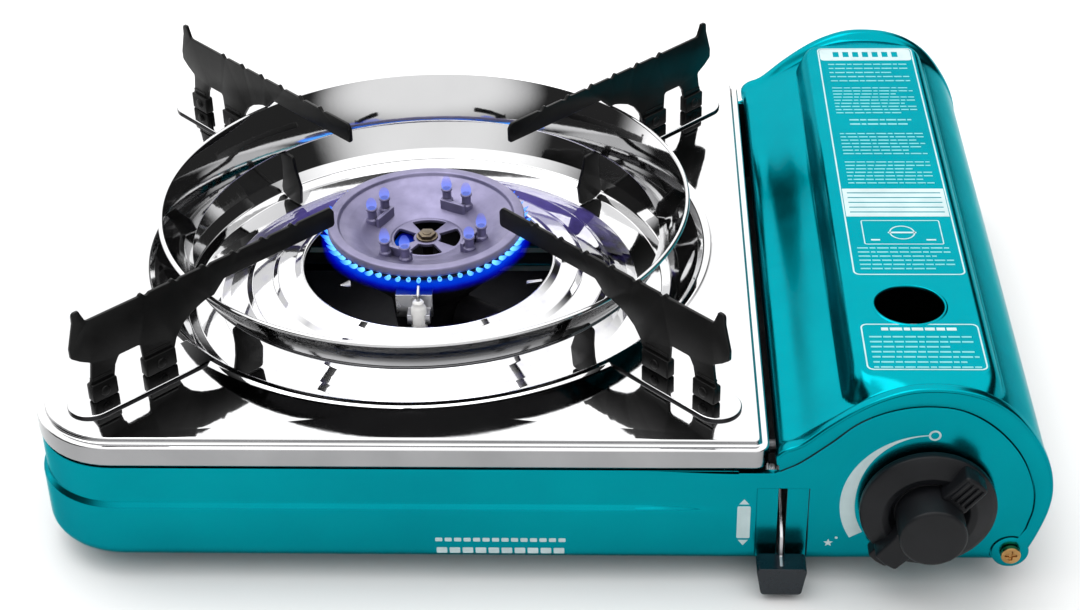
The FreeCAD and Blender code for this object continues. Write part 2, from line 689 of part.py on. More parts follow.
REGULATOR = CASE + Vector(mm("knob_across"), BACKING[1], mm("knob_down"))
INWARD = Rotation(Vector(1, 0, 0), -90)
turned("regulator_body", [(4.0, 0), (13, 0), (16, 3), (16, 20), (13, 22), (10, 22), (10, 27), (4.0, 27)],
       REGULATOR, INWARD)
turned("regulator_cover", [(16.05, 5), (18, 5), (18, 15), (16.05, 15)], REGULATOR, INWARD)
COLLAR = CASE + Vector(mm("cartridge_across"), 0, mm("cartridge_down"))


def valve_collar():
    """The ring that the cartridge's neck locks into, with its notch at the top."""
    ring = rod(15.5, (0, 31.2, 0), (0, 37, 0)).cut(rod(9.5, (0, 30, 0), (0, 38, 0)))
    back = rod(15.5, (0, 28.5, 0), (0, 31.2, 0)).cut(rod(3.2, (0, 28, 0), (0, 32, 0)))
    return ring.fuse(back).cut(block((-2.2, 31.2, 8), (2.2, 38, 17)))


feature("valve_collar", valve_collar(), COLLAR)
turned("collar_seal", [(3.3, 31.2), (7.6, 31.2), (7.6, 33), (3.3, 33)], COLLAR, INWARD)


def gas_pipe():
    """A bent tube from the regulator's outlet, under the carriage bar, to the injector."""
    heading = Vector(math.cos(TUBE_HEADING), math.sin(TUBE_HEADING), 0)
    end = Vector(mm("burner_across"), mm("burner_along"), PIPE_Z) + heading * 137
    bend = Vector(mm("burner_across"), mm("burner_along"), PIPE_Z) + heading * 146
    route = [Vector(282, 20, PIPE_Z), Vector(267, 20, PIPE_Z), Vector(267, bend.y, PIPE_Z), bend, end]
    return swept_tube(route, 2.4, 6.5)


def swept_tube(route, radius, bend_radius):
    """Straight runs joined by tangent arcs, swept with a circle."""
    edges = []
    start = route[0]
    for before, corner, after in zip(route, route[1:], route[2:]):
        arrive, leave = (before - corner).normalize(), (after - corner).normalize()
        half = arrive.getAngle(leave) / 2
        room = 0.45 * min((before - corner).Length, (after - corner).Length)
        reach = min(bend_radius / math.tan(half), room)
        first, last = corner + arrive * reach, corner + leave * reach
        centre_line = (arrive + leave).normalize()
        arc_radius = reach * math.tan(half)
        middle = corner + centre_line * (arc_radius / math.sin(half) - arc_radius)
        edges.append(Part.LineSegment(start, first).toShape())
        edges.append(Part.Arc(first, middle, last).toShape())
        start = last
    edges.append(Part.LineSegment(start, route[-1]).toShape())
    section = Part.Wire(Part.makeCircle(radius, route[0], route[1] - route[0]))
    return Part.Wire(edges).makePipeShell([section], True, False)


feature("gas_pipe", gas_pipe())
feature("pipe_nut", rod(4.6, (273, 20, PIPE_Z), (282, 20, PIPE_Z)).cut(
    rod(2.4, (270, 20, PIPE_Z), (290, 20, PIPE_Z))).fuse(rod(3.6, (282, 20, PIPE_Z), (286.2, 20, PIPE_Z))))


def saddle(along):
    """A cradle plate across the bay floor, hollowed to the cartridge's round."""
    x, z = mm("cartridge_across"), mm("cartridge_down")
    floor = mm("case_bottom") + GAUGE
    plate_body = block((x - 24, along, floor), (x + 24, along + 1.2, floor + 12))
    foot = block((x - 24, along, floor), (x + 24, along + 9, floor + 1.2))
    cartridge = rod(mm("cartridge_radius") + 0.1, (x, along - 1, z), (x, along + 12, z))
    return plate_body.fuse(foot).cut(cartridge)


feature("saddle_front", saddle(78))
feature("saddle_rear", saddle(186))


def cartridge_guide():
    """A tongue over the collar with a key that drops into the notch of the cartridge's rim."""
    key = block((-1.6, 31.2, 12.2), (1.6, 37, 15.7))
    return block((-6, 22, 15.6), (6, 37, 17.2)).fuse(key)


feature("cartridge_guide", cartridge_guide(), COLLAR)

IGNITER_X = 322.0
igniter = primitive("Box", "igniter_case", CASE + Vector(IGNITER_X - 5.5, 6, -42),
                    Length=11, Width=26, Height=10)
plunger = primitive("Cylinder", "igniter_plunger", CASE + Vector(IGNITER_X, 6, -37), FACING_FRONT,
                    Radius=3, Height=3.4)
combine("Fuse", "piezo_igniter", igniter, plunger)
feature("igniter_bracket", block((IGNITER_X - 6.8, 10, -45.9), (IGNITER_X - 5.6, 28, -33)).fuse(
    block((IGNITER_X - 16, 10, -45.9), (IGNITER_X - 5.6, 28, -44.7))))

# ---------------------------------------------------------------- knob

KNOB = CASE + Vector(mm("knob_across"), FRONT, mm("knob_down"))
KNOB_BACK = 1.0
GRIP_ANGLE = 230


def control_knob():
    """A round skirted knob with a grip bar right across it and a tab past the skirt as a pointer."""
    radius, reach, hub = mm("knob_radius"), mm("knob_reach"), mm("hub_radius")
    bore, socket_end = mm("shaft_radius"), 13
    section = [(bore, KNOB_BACK), (radius, KNOB_BACK), (radius, 3.6), (radius - 1.2, 5), (radius - 5, 5.6),
               (12.4, 6.2), (hub + 0.4, 8), (hub, reach - 1.4), (hub - 1.4, reach), (0, reach),
               (0, socket_end), (bore, socket_end)]
    wire = Part.makePolygon([Vector(r, 0, z) for r, z in section + section[:1]])
    knob = Part.Face(wire).revolve(Vector(0, 0, 0), Vector(0, 0, 1), 360)
    bar = block((-radius + 1, -5.4, 5), (radius + 1.6, 5.4, 12.4)).common(
        Part.makeCylinder(radius + 1.6, 14))
    slope = Part.makeCone(radius + 5, radius - 3.4, 8.4, Vector(0, 0, 5))
    tab = block((radius - 3, -4.2, KNOB_BACK), (radius + 2.6, 4.2, 6.4))
    bar = bar.common(slope).fuse(tab)
    bar.rotate(Vector(0, 0, 0), Vector(0, 0, 1), GRIP_ANGLE)
    return knob.fuse(bar).cut(Part.makeCylinder(bore, socket_end - KNOB_BACK, Vector(0, 0, KNOB_BACK)))


feature("control_knob", control_knob(), KNOB, FACING_FRONT)
shaft = dim("shaft_radius") - 0.05
turned("knob_shaft", [(0, -20), (shaft, -20), (shaft, 13), (0, 13)], KNOB, FACING_FRONT)

# ---------------------------------------------------------------- lock lever and carriage

LEVER = CASE + Vector(mm("lever_across"), mm("lever_pivot_along"), mm("lever_pivot_down"))
blade_blank = new_body("lever_blade_blank", LEVER)
add_pad(blade_blank, polygon(blade_blank, "YZ_Plane", "lever_outline", [
    (-3.4, 12), (3.4, 12), (5.2, 4), (4.4, -5), (0, -7), (-14, -12.5), (-26.4, -17.2), (-26.9, -22.5),
    (-32.5, -22.5), (-32.5, -14.4), (-28, -13), (-26.6, -6.2), (-24, -4.2), (-7, 3.4), (-5.6, 6)]),
    dim("lever_gauge"))
lever_bore = primitive("Cylinder", "lever_bore", LEVER - Vector(3, 0, 0), ALONG_X, Radius=2.2, Height=6)
combine("Cut", "lever_blade", blade_blank, lever_bore)


def lever_handle():
    """The dark handle that hangs in front of the case, narrower towards its lower edge."""
    top, bottom = 8.6, 6.7
    front, high, low = -34.8, -13.2, -24.2
    depth = 8.4
    outline = [Vector(-top, front, high), Vector(top, front, high), Vector(bottom, front, low),
               Vector(-bottom, front, low), Vector(-top, front, high)]
    body = Part.Face(Part.makePolygon(outline)).extrude(Vector(0, depth, 0))
    corners = [edge for edge in body.Edges if edge.BoundBox.YLength > depth - 0.4]
    body = body.makeFillet(1.4, corners)
    return body.cut(block((-0.6, -32.9, -22.9), (0.6, -20, -10)))


feature("lever_handle", lever_handle(), LEVER)
turned("lever_pivot", [(0, -5.4), (2.15, -5.4), (2.15, -3.4), (3.4, -3.4), (3.4, -1.0), (2.15, -1.0),
                       (2.15, 1.0), (3.4, 1.0), (3.4, 1.6), (0, 1.6)], LEVER, ALONG_X)
turned("lever_cam_pin", [(0, 0.6), (1.5, 0.6), (1.5, 5.4), (0, 5.4)], LEVER + Vector(0, 0, 9), ALONG_X)


def lever_bracket():
    """An upright ear from the heat shield's side that holds the lever's pivot."""
    return block((-5.45, -6, -17.9), (-3.4, 6, 6)).cut(rod(2.2, (-8, 0, 0), (0, 0, 0)))


feature("lever_bracket", lever_bracket(), LEVER)


def carriage_bar():
    """A flat bar along the bay that the lever's cam pin pushes to and fro."""
    bar = block((2.0, -6, 4.2), (3.6, 206, 16)).cut(block((1, -2.4, 5), (5, 2.4, 13)))
    return bar.fuse(block((2.0, 204, 4.2), (30, 206, 16)))


feature("carriage_bar", carriage_bar(), LEVER)
feature("push_plate", Part.makeCylinder(13, 2.4, Vector(0, 0, 0), ACROSS_Y).cut(
    Part.makeCylinder(8, 1.0, Vector(0, 0, 0), ACROSS_Y)),
    CASE + Vector(mm("cartridge_across") - 6, mm("lever_pivot_along") + 201.6, mm("cartridge_down") - 6))

# ---------------------------------------------------------------- trivet

ring_top, ring_low = dim("ring_top"), dim("ring_bottom")
wide, tight = dim("ring_top_radius"), dim("ring_bottom_radius")
turned("trivet_ring", [(tight - 0.6, ring_low), (tight + 0.6, ring_low), (wide + 0.6, ring_top - 1.1),
                       (wide + 1.1, ring_top - 0.6), (wide + 0.6, ring_top), (wide - 0.4, ring_top - 0.2),
                       (tight - 0.6, ring_low + 0.8)])


def arm_outline():
    """One pan-support arm as (radial distance, height), teeth along its top edge."""
    top, cap, tip, foot = dim("arm_top"), dim("arm_cap"), dim("arm_tip"), dim("arm_foot")
    outline = [(tip, 27), (tip, top - 2), (tip + 1.4, top)]
    first_tooth, tooth_pitch = 61, 12.7
    for tooth in range(6):
        place = first_tooth + tooth_pitch * tooth
        outline += [(place - 3, top), (place - 1.6, top - 1.0), (place, top + 0.9),
                    (place + 0.9, top + 0.7), (place + 1.4, top)]
    outline += [(146.6, top), (148.3, cap - 1), (148.6, cap), (151.4, cap), (151.6, cap - 4),
                (154.2, 27), (154.2, 23.4), (151, 20.8), (147, 18.4), (148, 12), (149, 9.6),
                (149, foot), (139, foot), (139, 10), (138.2, 13.6), (136.4, 16.6), (127.6, 16.6),
                (127.2, 9.6), (127.6, foot), (115, foot), (115, 8), (113.4, 12.4), (110.4, 16.4),
                (106.4, 19.4), (102, 21.2), (99.2, 22.1), (96.4, 22.1), (91.4, 26.8)]
    return outline


def arm(name, angle):
    body = new_body(name, BURNER, Rotation(Vector(0, 0, 1), angle))
    add_pad(body, polygon(body, "XZ_Plane", name + "_outline", arm_outline()), dim("arm_gauge"))
    foot = dim("arm_foot")
    for number, (near, far) in enumerate(((139, 149), (115, 127.6))):
        corners = [(near, foot), (far, foot), (far, foot + 7), (near, foot + 7)]
        add_pad(body, polygon(body, "XZ_Plane", f"{name}_block_{number}", corners), dim("foot_block_gauge"))
    return keep(body, name)


def post(name, angle):
    """A short plate leg under the ring that stands in the basin."""
    foot = dim("post_foot")
    outline = [(79.6, foot), (87.4, foot), (91, foot + 1.5), (91.4, -12), (90.2, -7), (89.8, -2),
               (90.2, ring_low), (82.4, ring_low), (81.4, 0), (78.6, -8)]
    return plate(name, "XZ_Plane", outline, dim("arm_gauge"), BURNER, Rotation(Vector(0, 0, 1), angle))


for corner_name, corner_angle in DIAGONALS.items():
    arm("arm_" + corner_name, corner_angle)
    post("post_" + corner_name, corner_angle)

# ---------------------------------------------------------------- write the parts

doc.recompute()
for thing in doc.Objects:
    if "Invalid" in thing.State or "Error" in thing.State:
        raise SystemExit(f"{thing.Label}: {thing.State}")
for node in nodes:
    if node.Shape.isNull() or not node.Shape.isValid():
        raise SystemExit(f"{node.Label}: bad shape")
os.makedirs("parts", exist_ok=True)
for node in nodes:
    node.Shape.exportStep(f"parts/{node.Label}.step")
    box = node.Shape.BoundBox
    print(f"{node.Label:22s} solids {len(node.Shape.Solids)} volume {node.Shape.Volume:10.1f}"
          f"  x {box.XMin:7.1f} {box.XMax:7.1f}  y {box.YMin:7.1f} {box.YMax:7.1f}"
          f"  z {box.ZMin:6.1f} {box.ZMax:6.1f}")
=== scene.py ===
import json
import math

import bmesh
import bpy
from mathutils import Matrix, Vector
from mathutils.geometry import delaunay_2d_cdt


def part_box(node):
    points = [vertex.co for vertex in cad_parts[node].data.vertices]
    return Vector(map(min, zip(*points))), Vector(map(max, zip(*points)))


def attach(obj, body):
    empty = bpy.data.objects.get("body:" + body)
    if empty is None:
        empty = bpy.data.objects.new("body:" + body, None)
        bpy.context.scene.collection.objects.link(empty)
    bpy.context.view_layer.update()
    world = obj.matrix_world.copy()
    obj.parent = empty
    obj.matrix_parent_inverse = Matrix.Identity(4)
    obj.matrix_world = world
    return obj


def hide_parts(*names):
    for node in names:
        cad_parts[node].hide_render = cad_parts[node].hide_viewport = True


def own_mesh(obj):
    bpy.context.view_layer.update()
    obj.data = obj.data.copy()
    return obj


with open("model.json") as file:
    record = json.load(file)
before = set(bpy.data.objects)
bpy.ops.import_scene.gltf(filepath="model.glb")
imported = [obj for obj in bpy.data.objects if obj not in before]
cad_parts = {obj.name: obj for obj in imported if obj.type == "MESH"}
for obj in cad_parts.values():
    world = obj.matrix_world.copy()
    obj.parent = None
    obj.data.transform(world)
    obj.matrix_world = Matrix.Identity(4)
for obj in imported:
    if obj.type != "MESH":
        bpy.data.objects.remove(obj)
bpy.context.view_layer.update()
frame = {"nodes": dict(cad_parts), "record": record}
NODES = frame["nodes"]

MM = 0.001
# the pads' top and the case's front and rear, in mm
PAD_TOP = 3.0
FRONT, REAR = -1.0, 257.0
PLATE_LOW, PLATE_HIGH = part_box("top_plate")
CASE = Vector((PLATE_LOW.x, PLATE_LOW.y, PLATE_HIGH.z - PAD_TOP * MM))
CAP_LOW, CAP_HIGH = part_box("burner_cap")
BURNER = Vector(((CAP_LOW.x + CAP_HIGH.x) / 2, (CAP_LOW.y + CAP_HIGH.y) / 2, CASE.z))


def case_at(x, y, z):
    """A point of the case frame (mm from the plate's front left corner at rim height) in metres."""
    return CASE + Vector((x, y, z)) * MM


def burner_at(x, y, z):
    """A point in mm from the burner's axis at rim height, in metres."""
    return BURNER + Vector((x, y, z)) * MM


def burner_radius(point):
    """The distance in mm of a point in metres from the burner's axis."""
    return math.hypot(point.x - BURNER.x, point.y - BURNER.y) / MM


def mesh_object(name, bm):
    """Turns the bmesh into an object of the scene."""
    mesh = bpy.data.meshes.new(name)
    bm.to_mesh(mesh)
    bm.free()
    return scene_object(name, mesh)


def scene_object(name, data):
    made = bpy.data.objects.new(name, data)
    bpy.context.scene.collection.objects.link(made)
    return made


# -------- materials

NOISE_LOW, NOISE_HIGH = 0.3, 0.7


def shader_node(tree, kind, values=None, links=None, operation=None):
    """A shader node with its operation, its sockets' values and its links from outputs."""
    made = tree.nodes.new(kind)
    if operation:
        made.operation = operation
    for socket, value in (values or {}).items():
        made.inputs[socket].default_value = value
    for socket, source in (links or {}).items():
        tree.links.new(source, made.inputs[socket])
    return made


def ranged(tree, source, low, high, first, last, shape="SMOOTHSTEP"):
    """The source's values from low to high, turned into values from first to last."""
    made = tree.nodes.new("ShaderNodeMapRange")
    made.interpolation_type = shape
    for socket, value in zip(("From Min", "From Max", "To Min", "To Max"), (low, high, first, last)):
        made.inputs[socket].default_value = value
    tree.links.new(source, made.inputs["Value"])
    return made.outputs["Result"]


def two_shades(tree, source, low, dark, high, light):
    """A colour that goes from the dark shade at the low value to the light one at the high value."""
    made = shader_node(tree, "ShaderNodeValToRGB", links={"Fac": source})
    for element, position, colour in zip(made.color_ramp.elements, (low, high), (dark, light)):
        element.position = position
        element.color = (*colour, 1)
    return made.outputs["Color"]


def new_surface(name, values):
    """A material with values set on its surface shader: the material, its tree and the shader."""
    mat = bpy.data.materials.new(name)
    mat.use_nodes = True
    shade = mat.node_tree.nodes["Principled BSDF"]
    for socket, value in values.items():
        shade.inputs[socket].default_value = value
    return mat, mat.node_tree, shade


def material(name, dark, light, metallic=0.0, rough=0.4, spread=0.08, mottle=60.0, grain=2500.0, bump=0.06,
             depth=0.0002, coat=0.0, coat_rough=0.05, specular=0.5, stretch=(1, 1, 1)):
    """A surface whose colour drifts between two shades, with uneven gloss and a fine grain in relief."""
    mat, tree, shade = new_surface(name, {"Metallic": metallic, "Coat Weight": coat,
                                          "Coat Roughness": coat_rough, "Specular IOR Level": specular})
    place = shader_node(tree, "ShaderNodeTexCoord").outputs["Object"]
    scaled = shader_node(tree, "ShaderNodeMapping", {"Scale": stretch}, {"Vector": place}).outputs["Vector"]

    def noise(scale, detail):
        values = {"Scale": scale, "Detail": detail}
        return shader_node(tree, "ShaderNodeTexNoise", values, {"Vector": scaled}).outputs["Fac"]

    colour = two_shades(tree, noise(mottle, 4.0), NOISE_LOW, dark, NOISE_HIGH, light)
    tree.links.new(colour, shade.inputs["Base Color"])
    smoothest = max(rough - spread / 2, 0.005)
    gloss = ranged(tree, noise(mottle * 2.3, 6.0), NOISE_LOW, NOISE_HIGH, smoothest, rough + spread / 2,
                   "LINEAR")
    tree.links.new(gloss, shade.inputs["Roughness"])
    relief = shader_node(tree, "ShaderNodeBump", {"Strength": bump, "Distance": depth},
                         {"Height": noise(grain, 3.0)})
    tree.links.new(relief.outputs["Normal"], shade.inputs["Normal"])
    return mat


FINISHES = {
    "teal_paint": dict(dark=(0.0, 0.21, 0.255), light=(0.0, 0.24, 0.285), metallic=1.0, rough=0.21,
        spread=0.05, mottle=30, grain=5000, bump=0.05, coat=0.03, coat_rough=0.04),
    "mirror_steel": dict(dark=(0.53, 0.53, 0.535), light=(0.58, 0.58, 0.585), metallic=1.0, rough=0.045,
        spread=0.035, mottle=25, grain=160, bump=0.035, depth=0.0004),
    "black_enamel": dict(dark=(0.002,) * 3, light=(0.004,) * 3, rough=0.34, spread=0.12,
        mottle=70, grain=1400, bump=0.12, coat=0.05, coat_rough=0.12, specular=0.13),
    # the burner's alloy: grey metal with the flames' violet light painted into its colour
    "burner_alloy": dict(dark=(0.155, 0.145, 0.235), light=(0.21, 0.195, 0.305), metallic=0.7, rough=0.40,
        spread=0.14, mottle=120, grain=2600, bump=0.22),
    "cast_alloy": dict(dark=(0.30, 0.30, 0.31), light=(0.42, 0.42, 0.43), metallic=0.8, rough=0.5,
        spread=0.16, mottle=90, grain=1600, bump=0.35),
    "zinc_steel": dict(dark=(0.40, 0.40, 0.42), light=(0.52, 0.52, 0.53), metallic=1.0, rough=0.3,
        spread=0.14, mottle=110, grain=1200, bump=0.1, stretch=(1, 0.15, 1)),
    "brass": dict(dark=(0.34, 0.18, 0.06), light=(0.52, 0.31, 0.12), metallic=1.0, rough=0.3,
        spread=0.14, mottle=160, grain=2200, bump=0.1),
    "rubber": dict(dark=(0.018,) * 3, light=(0.035, 0.035, 0.034), rough=0.72,
        spread=0.16, mottle=150, grain=2600, bump=0.3),
    "charcoal_plastic": dict(dark=(0.003, 0.0035, 0.0045), light=(0.006, 0.0065, 0.008), rough=0.4,
        spread=0.1, mottle=90, grain=3200, bump=0.22, specular=0.2),
    "lever_plastic": dict(dark=(0.003, 0.006, 0.010), light=(0.006, 0.011, 0.016), rough=0.26,
        spread=0.08, mottle=90, grain=2600, bump=0.08, coat=0.12, specular=0.3),
    "ceramic": dict(dark=(0.66, 0.65, 0.64), light=(0.78, 0.77, 0.75), rough=0.22,
        spread=0.1, mottle=200, grain=1800, bump=0.06, coat=0.4),
}
MATERIALS = {slot: material(slot, **look) for slot, look in FINISHES.items()}
# a near-black metal for the burner's parts inside the case
NEAR_BLACK_METAL = material("near_black_metal", (0.006, 0.006, 0.007), (0.016, 0.015, 0.016), 0.3, 0.6, spread=0.15,
                mottle=120, grain=1800, bump=0.3, specular=0.2)
SCORCHED = material("scorched_metal", (0.08, 0.065, 0.05), (0.20, 0.16, 0.11), 1.0, 0.35, spread=0.15,
                    mottle=200, grain=1500, bump=0.2)
# painted shade for the unlit inside of the case
INSIDE_SHADE = material("case_inside_painted_shade", (0.010, 0.010, 0.012), (0.018, 0.018, 0.020), 0.0, 0.55, spread=0.15,
                  mottle=60, grain=1500, bump=0.15)


def dim_steel(name, dark, light, rough):
    """Bright steel darkened with painted shade, for where it reflects something dark."""
    return material(name, dark, light, 1.0, rough, spread=0.05, mottle=40, grain=300, bump=0.05)


def ink(name, dark, light):
    return material(name, dark, light, 0.0, 0.42, spread=0.1, mottle=120, grain=1800, bump=0.06)


# painted shade: darker steels for the pads' walls, the plate's upright rim and the ring's outer wall
SHADED_EDGE = dim_steel("shaded_edge", (0.03, 0.03, 0.032), (0.06, 0.06, 0.062), 0.15)
RIM_SHADE = dim_steel("rim_painted_shade", (0.27, 0.27, 0.275), (0.33, 0.33, 0.335), 0.14)
SHADED = dim_steel("shaded_steel", (0.10, 0.10, 0.105), (0.15, 0.15, 0.155), 0.12)
INK = ink("white_ink", (0.36, 0.47, 0.48), (0.44, 0.55, 0.56))
FINE_INK = ink("thin_ink", (0.10, 0.38, 0.40), (0.15, 0.44, 0.46))


def darker_above(mat, low, high, least):
    """Paints shade into a finish: its colour goes from its own shade at the low level to the least share of
    it at the high level.
    """
    tree = mat.node_tree
    shade = tree.nodes["Principled BSDF"]
    colour = shade.inputs["Base Color"].links[0].from_socket
    place = shader_node(tree, "ShaderNodeTexCoord").outputs["Object"]
    height = shader_node(tree, "ShaderNodeSeparateXYZ", links={"Vector": place}).outputs["Z"]
    share = ranged(tree, height, low, high, 1.0, least)
    deepened = shader_node(tree, "ShaderNodeVectorMath", links={0: colour, "Scale": share}, operation="SCALE")
    tree.links.new(deepened.outputs["Vector"], shade.inputs["Base Color"])


# the paint keeps its colour where it is seen at a low angle
paint_shader = MATERIALS["teal_paint"].node_tree.nodes["Principled BSDF"]
paint_shader.inputs["Specular Tint"].default_value = (0.1, 0.62, 0.66, 1)
# the ring's outer wall gets painted shade, darker towards the cone's top
darker_above(SHADED, burner_at(0, 0, 5).z, burner_at(0, 0, 15).z, 0.1)
SLOT_OF = {row["node"]: row["material_slot"] for row in frame["record"]["subparts"]}
for node, cad_object in NODES.items():
    cad_object.data.materials.clear()
    cad_object.data.materials.append(MATERIALS[SLOT_OF[node]])


# -------- mesh helpers

SHEET = 0.8
EDGE_WIDTH, EDGE_STEPS, EDGE_ANGLE = 0.25, 2, 30


def put(name, bm, body, slot, node=None, smooth=40, mat=None):
    """Makes a piece from the bmesh, riding a body and taking a slot's finish."""
    piece = mesh_object(name, bm)
    piece.data.materials.append(mat or MATERIALS[slot])
    piece.data.set_sharp_from_angle(angle=math.radians(smooth))
    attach(piece, body)
    if node:
        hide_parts(node)
    return piece


def even_normals(piece):
    """Keeps the flat faces flat beside their rounded edges."""
    even = piece.modifiers.new("even", "WEIGHTED_NORMAL")
    even.keep_sharp = True


def sheet_gauge(piece):
    """Gives a skin the thickness of its sheet."""
    gauge = piece.modifiers.new("gauge", "SOLIDIFY")
    gauge.thickness = SHEET * MM
    gauge.offset = -1


def refine(node, body):
    """The CAD node's own shape with its edges rounded over."""
    bm = bmesh.new()
    bm.from_mesh(NODES[node].data)
    for layer in bm.loops.layers.uv.values():
        bm.loops.layers.uv.remove(layer)
    bmesh.ops.remove_doubles(bm, verts=bm.verts, dist=2e-6)
    bmesh.ops.dissolve_limit(bm, angle_limit=math.radians(0.4), verts=bm.verts, edges=bm.edges)
    for face in bm.faces:
        face.smooth = True
    piece = put("fine_" + node, bm, body, SLOT_OF[node], node, 60)
    custom = piece.data.attributes.get("custom_normal")
    if custom:
        piece.data.attributes.remove(custom)
    edge = piece.modifiers.new("edge", "BEVEL")
    edge.width = EDGE_WIDTH * MM
    edge.segments = EDGE_STEPS
    edge.limit_method = "ANGLE"
    edge.angle_limit = math.radians(EDGE_ANGLE)
    edge.harden_normals = True
    edge.use_clamp_overlap = False
    edge.miter_outer = "MITER_ARC"
    return piece


# -------- outlines and solids of the finer pieces

def on_circle(centre, radius, angle):
    turn = math.radians(angle)
    return Vector((centre[0] + radius * math.cos(turn), centre[1] + radius * math.sin(turn)))


def arc_points(centre, radius, start, end, steps):
    """Points on an arc between two angles in degrees."""
    return [on_circle(centre, radius, start + (end - start) * i / steps) for i in range(steps + 1)]


def circle(radius, steps=64, centre=(0, 0), clockwise=False):
    loop = arc_points(centre, radius, 0, 360, steps)[:-1]
    return loop[::-1] if clockwise else loop


def eased(value, low, high):
    """0 below the low value, 1 above the high one and a smooth step between them."""
    t = min(max((value - low) / (high - low), 0), 1)
    return t * t * (3 - 2 * t)


def rounded(points, radius, steps=4, closed=True):
    """The outline with each corner turned into an arc of up to the radius."""
    result = []
    count = len(points)
    for i, raw in enumerate(points):
        corner = Vector(raw)
        if not closed and i in (0, count - 1):
            result.append(corner)
            continue
        back = Vector(points[i - 1]) - corner
        ahead = Vector(points[(i + 1) % count]) - corner
        room = 0.45 * min(back.length, ahead.length)
        back.normalize()
        ahead.normalize()
        half = back.angle(ahead) / 2
        if math.pi / 2 - half < 0.02 or half < 0.02:
            result.append(corner)
            continue
        reach = min(radius / math.tan(half), room)
        size = reach * math.tan(half)
        middle = corner + (back + ahead).normalized() * (size / math.sin(half))
        first, last = corner + back * reach - middle, corner + ahead * reach - middle
        sweep = math.atan2(first.x * last.y - first.y * last.x, first.dot(last))
        for k in range(steps + 1):
            angle = sweep * k / steps
            result.append(middle + Vector((first.x * math.cos(angle) - first.y * math.sin(angle),
                                           first.x * math.sin(angle) + first.y * math.cos(angle))))
    return result


def box_loop(x0, y0, x1, y1, radius=0, steps=3):
    """A rectangle's outline, with rounded corners if a radius is given."""
    corners = [Vector((x0, y0)), Vector((x1, y0)), Vector((x1, y1)), Vector((x0, y1))]
    return rounded(corners, radius, steps) if radius else corners


def counter_clockwise(loop):
    area = sum(a[0] * b[1] - b[0] * a[1] for a, b in zip(loop, loop[1:] + loop[:1]))
    return loop if area > 0 else loop[::-1]


def drawn_in(loop, distance):
    """The closed loop moved to its left: inwards if it runs counter-clockwise."""
    result = []
    for i, point in enumerate(loop):
        a = (point - loop[i - 1]).normalized()
        b = (loop[(i + 1) % len(loop)] - point).normalized()
        side_a, side_b = Vector((-a.y, a.x)), Vector((-b.y, b.x))
        mean = side_a + side_b
        mean = mean.normalized() if mean.length > 1e-9 else side_a
        result.append(point + mean * (distance / max(mean.dot(side_a), 0.4)))
    return result


def inside(point, loops):
    """True if the point is in the outline and in none of its holes."""
    odd = False
    x, y = point
    for loop in loops:
        for a, b in zip(loop, loop[1:] + loop[:1]):
            if (a[1] > y) != (b[1] > y) and x < (b[0] - a[0]) * (y - a[1]) / (b[1] - a[1]) + a[0]:
                odd = not odd
    return odd


def fill(bm, rings, loops):
    """Flat faces between loops whose vertices are already in the mesh."""
    points, edges, verts = [], [], []
    for ring, loop in zip(rings, loops):
        first = len(points)
        points += [Vector(p) for p in loop]
        verts += ring
        edges += [(first + i, first + (i + 1) % len(loop)) for i in range(len(loop))]
    out, _, triangles, _, _, _ = delaunay_2d_cdt(points, edges, [], 0, 1e-6)
    faces = []
    if len(out) != len(points):
        raise RuntimeError("the outline crosses itself")
    for triangle in triangles:
        centre = sum((out[i] for i in triangle), Vector((0, 0))) / 3
        if inside(centre, loops):
            faces.append(bm.faces.new([verts[i] for i in triangle]))
    return faces


def skin(bm, rings, closed=True):
    """Quads between neighbouring rings of equal count."""
    for lower, upper in zip(rings, rings[1:]):
        count = len(lower)
        for i in range(count if closed else count - 1):
            j = (i + 1) % count
            corners = list(dict.fromkeys((lower[i], lower[j], upper[j], upper[i])))
            if len(corners) > 2:
                bm.faces.new(corners)


def slab(bm, loops, low, high, place, bevel=0.25, steps=3):
    """A plate between two levels with rounded edges: the outline first, then its holes."""
    loops = [counter_clockwise(loops[0])] + [counter_clockwise(hole)[::-1] for hole in loops[1:]]
    profile = []
    for k in range(steps + 1):
        turn = math.pi / 2 * k / steps
        profile.append((bevel * (1 - math.sin(turn)), low + bevel * (1 - math.cos(turn))))
    profile += [(inset, high + low - level) for inset, level in profile[::-1]]
    ends = [[], []]
    flat = [[], []]
    for loop in loops:
        rings = []
        for inset, level in profile:
            rings.append([bm.verts.new(place(p[0], p[1], level)) for p in drawn_in(loop, inset)])
        skin(bm, rings)
        for side, ring in ((0, rings[0]), (1, rings[-1])):
            ends[side].append(ring)
            flat[side].append(drawn_in(loop, bevel))
    for side in (0, 1):
        fill(bm, ends[side], flat[side])


def lathe(bm, profile, place, turns=128, closed=True):
    """Turns (radius, height) points about the local axis."""
    rings = []
    for radius, level in profile:
        if radius < 1e-6:
            pole = bm.verts.new(place(0, 0, level))
            rings.append([pole] * turns)
        else:
            rings.append([bm.verts.new(place(radius * math.cos(2 * math.pi * i / turns),
                                             radius * math.sin(2 * math.pi * i / turns), level))
                          for i in range(turns)])
    skin(bm, rings + rings[:1] if closed else rings)


def finished(name, bm, body, slot, node=None, smooth=45, mat=None, weighted=False):
    """Makes a smooth-shaded piece with its faces turned outwards."""
    bmesh.ops.recalc_face_normals(bm, faces=bm.faces)
    for face in bm.faces:
        face.smooth = True
    piece = put(name, bm, body, slot, node, smooth, mat)
    if weighted:
        even_normals(piece)
    return piece


def second_finish(piece, mat, chosen):
    """Gives another finish to the faces for which chosen(centre, normal) holds."""
    piece.data.materials.append(mat)
    for face in piece.data.polygons:
        if chosen(face.center, face.normal):
            face.material_index = 1


# -------- top plate

PLATE_WIDTH, PLATE_DEPTH = 248, 256
LEFT_CORNER, RIGHT_CORNER, CORNER_STEPS = 30, 5, 14


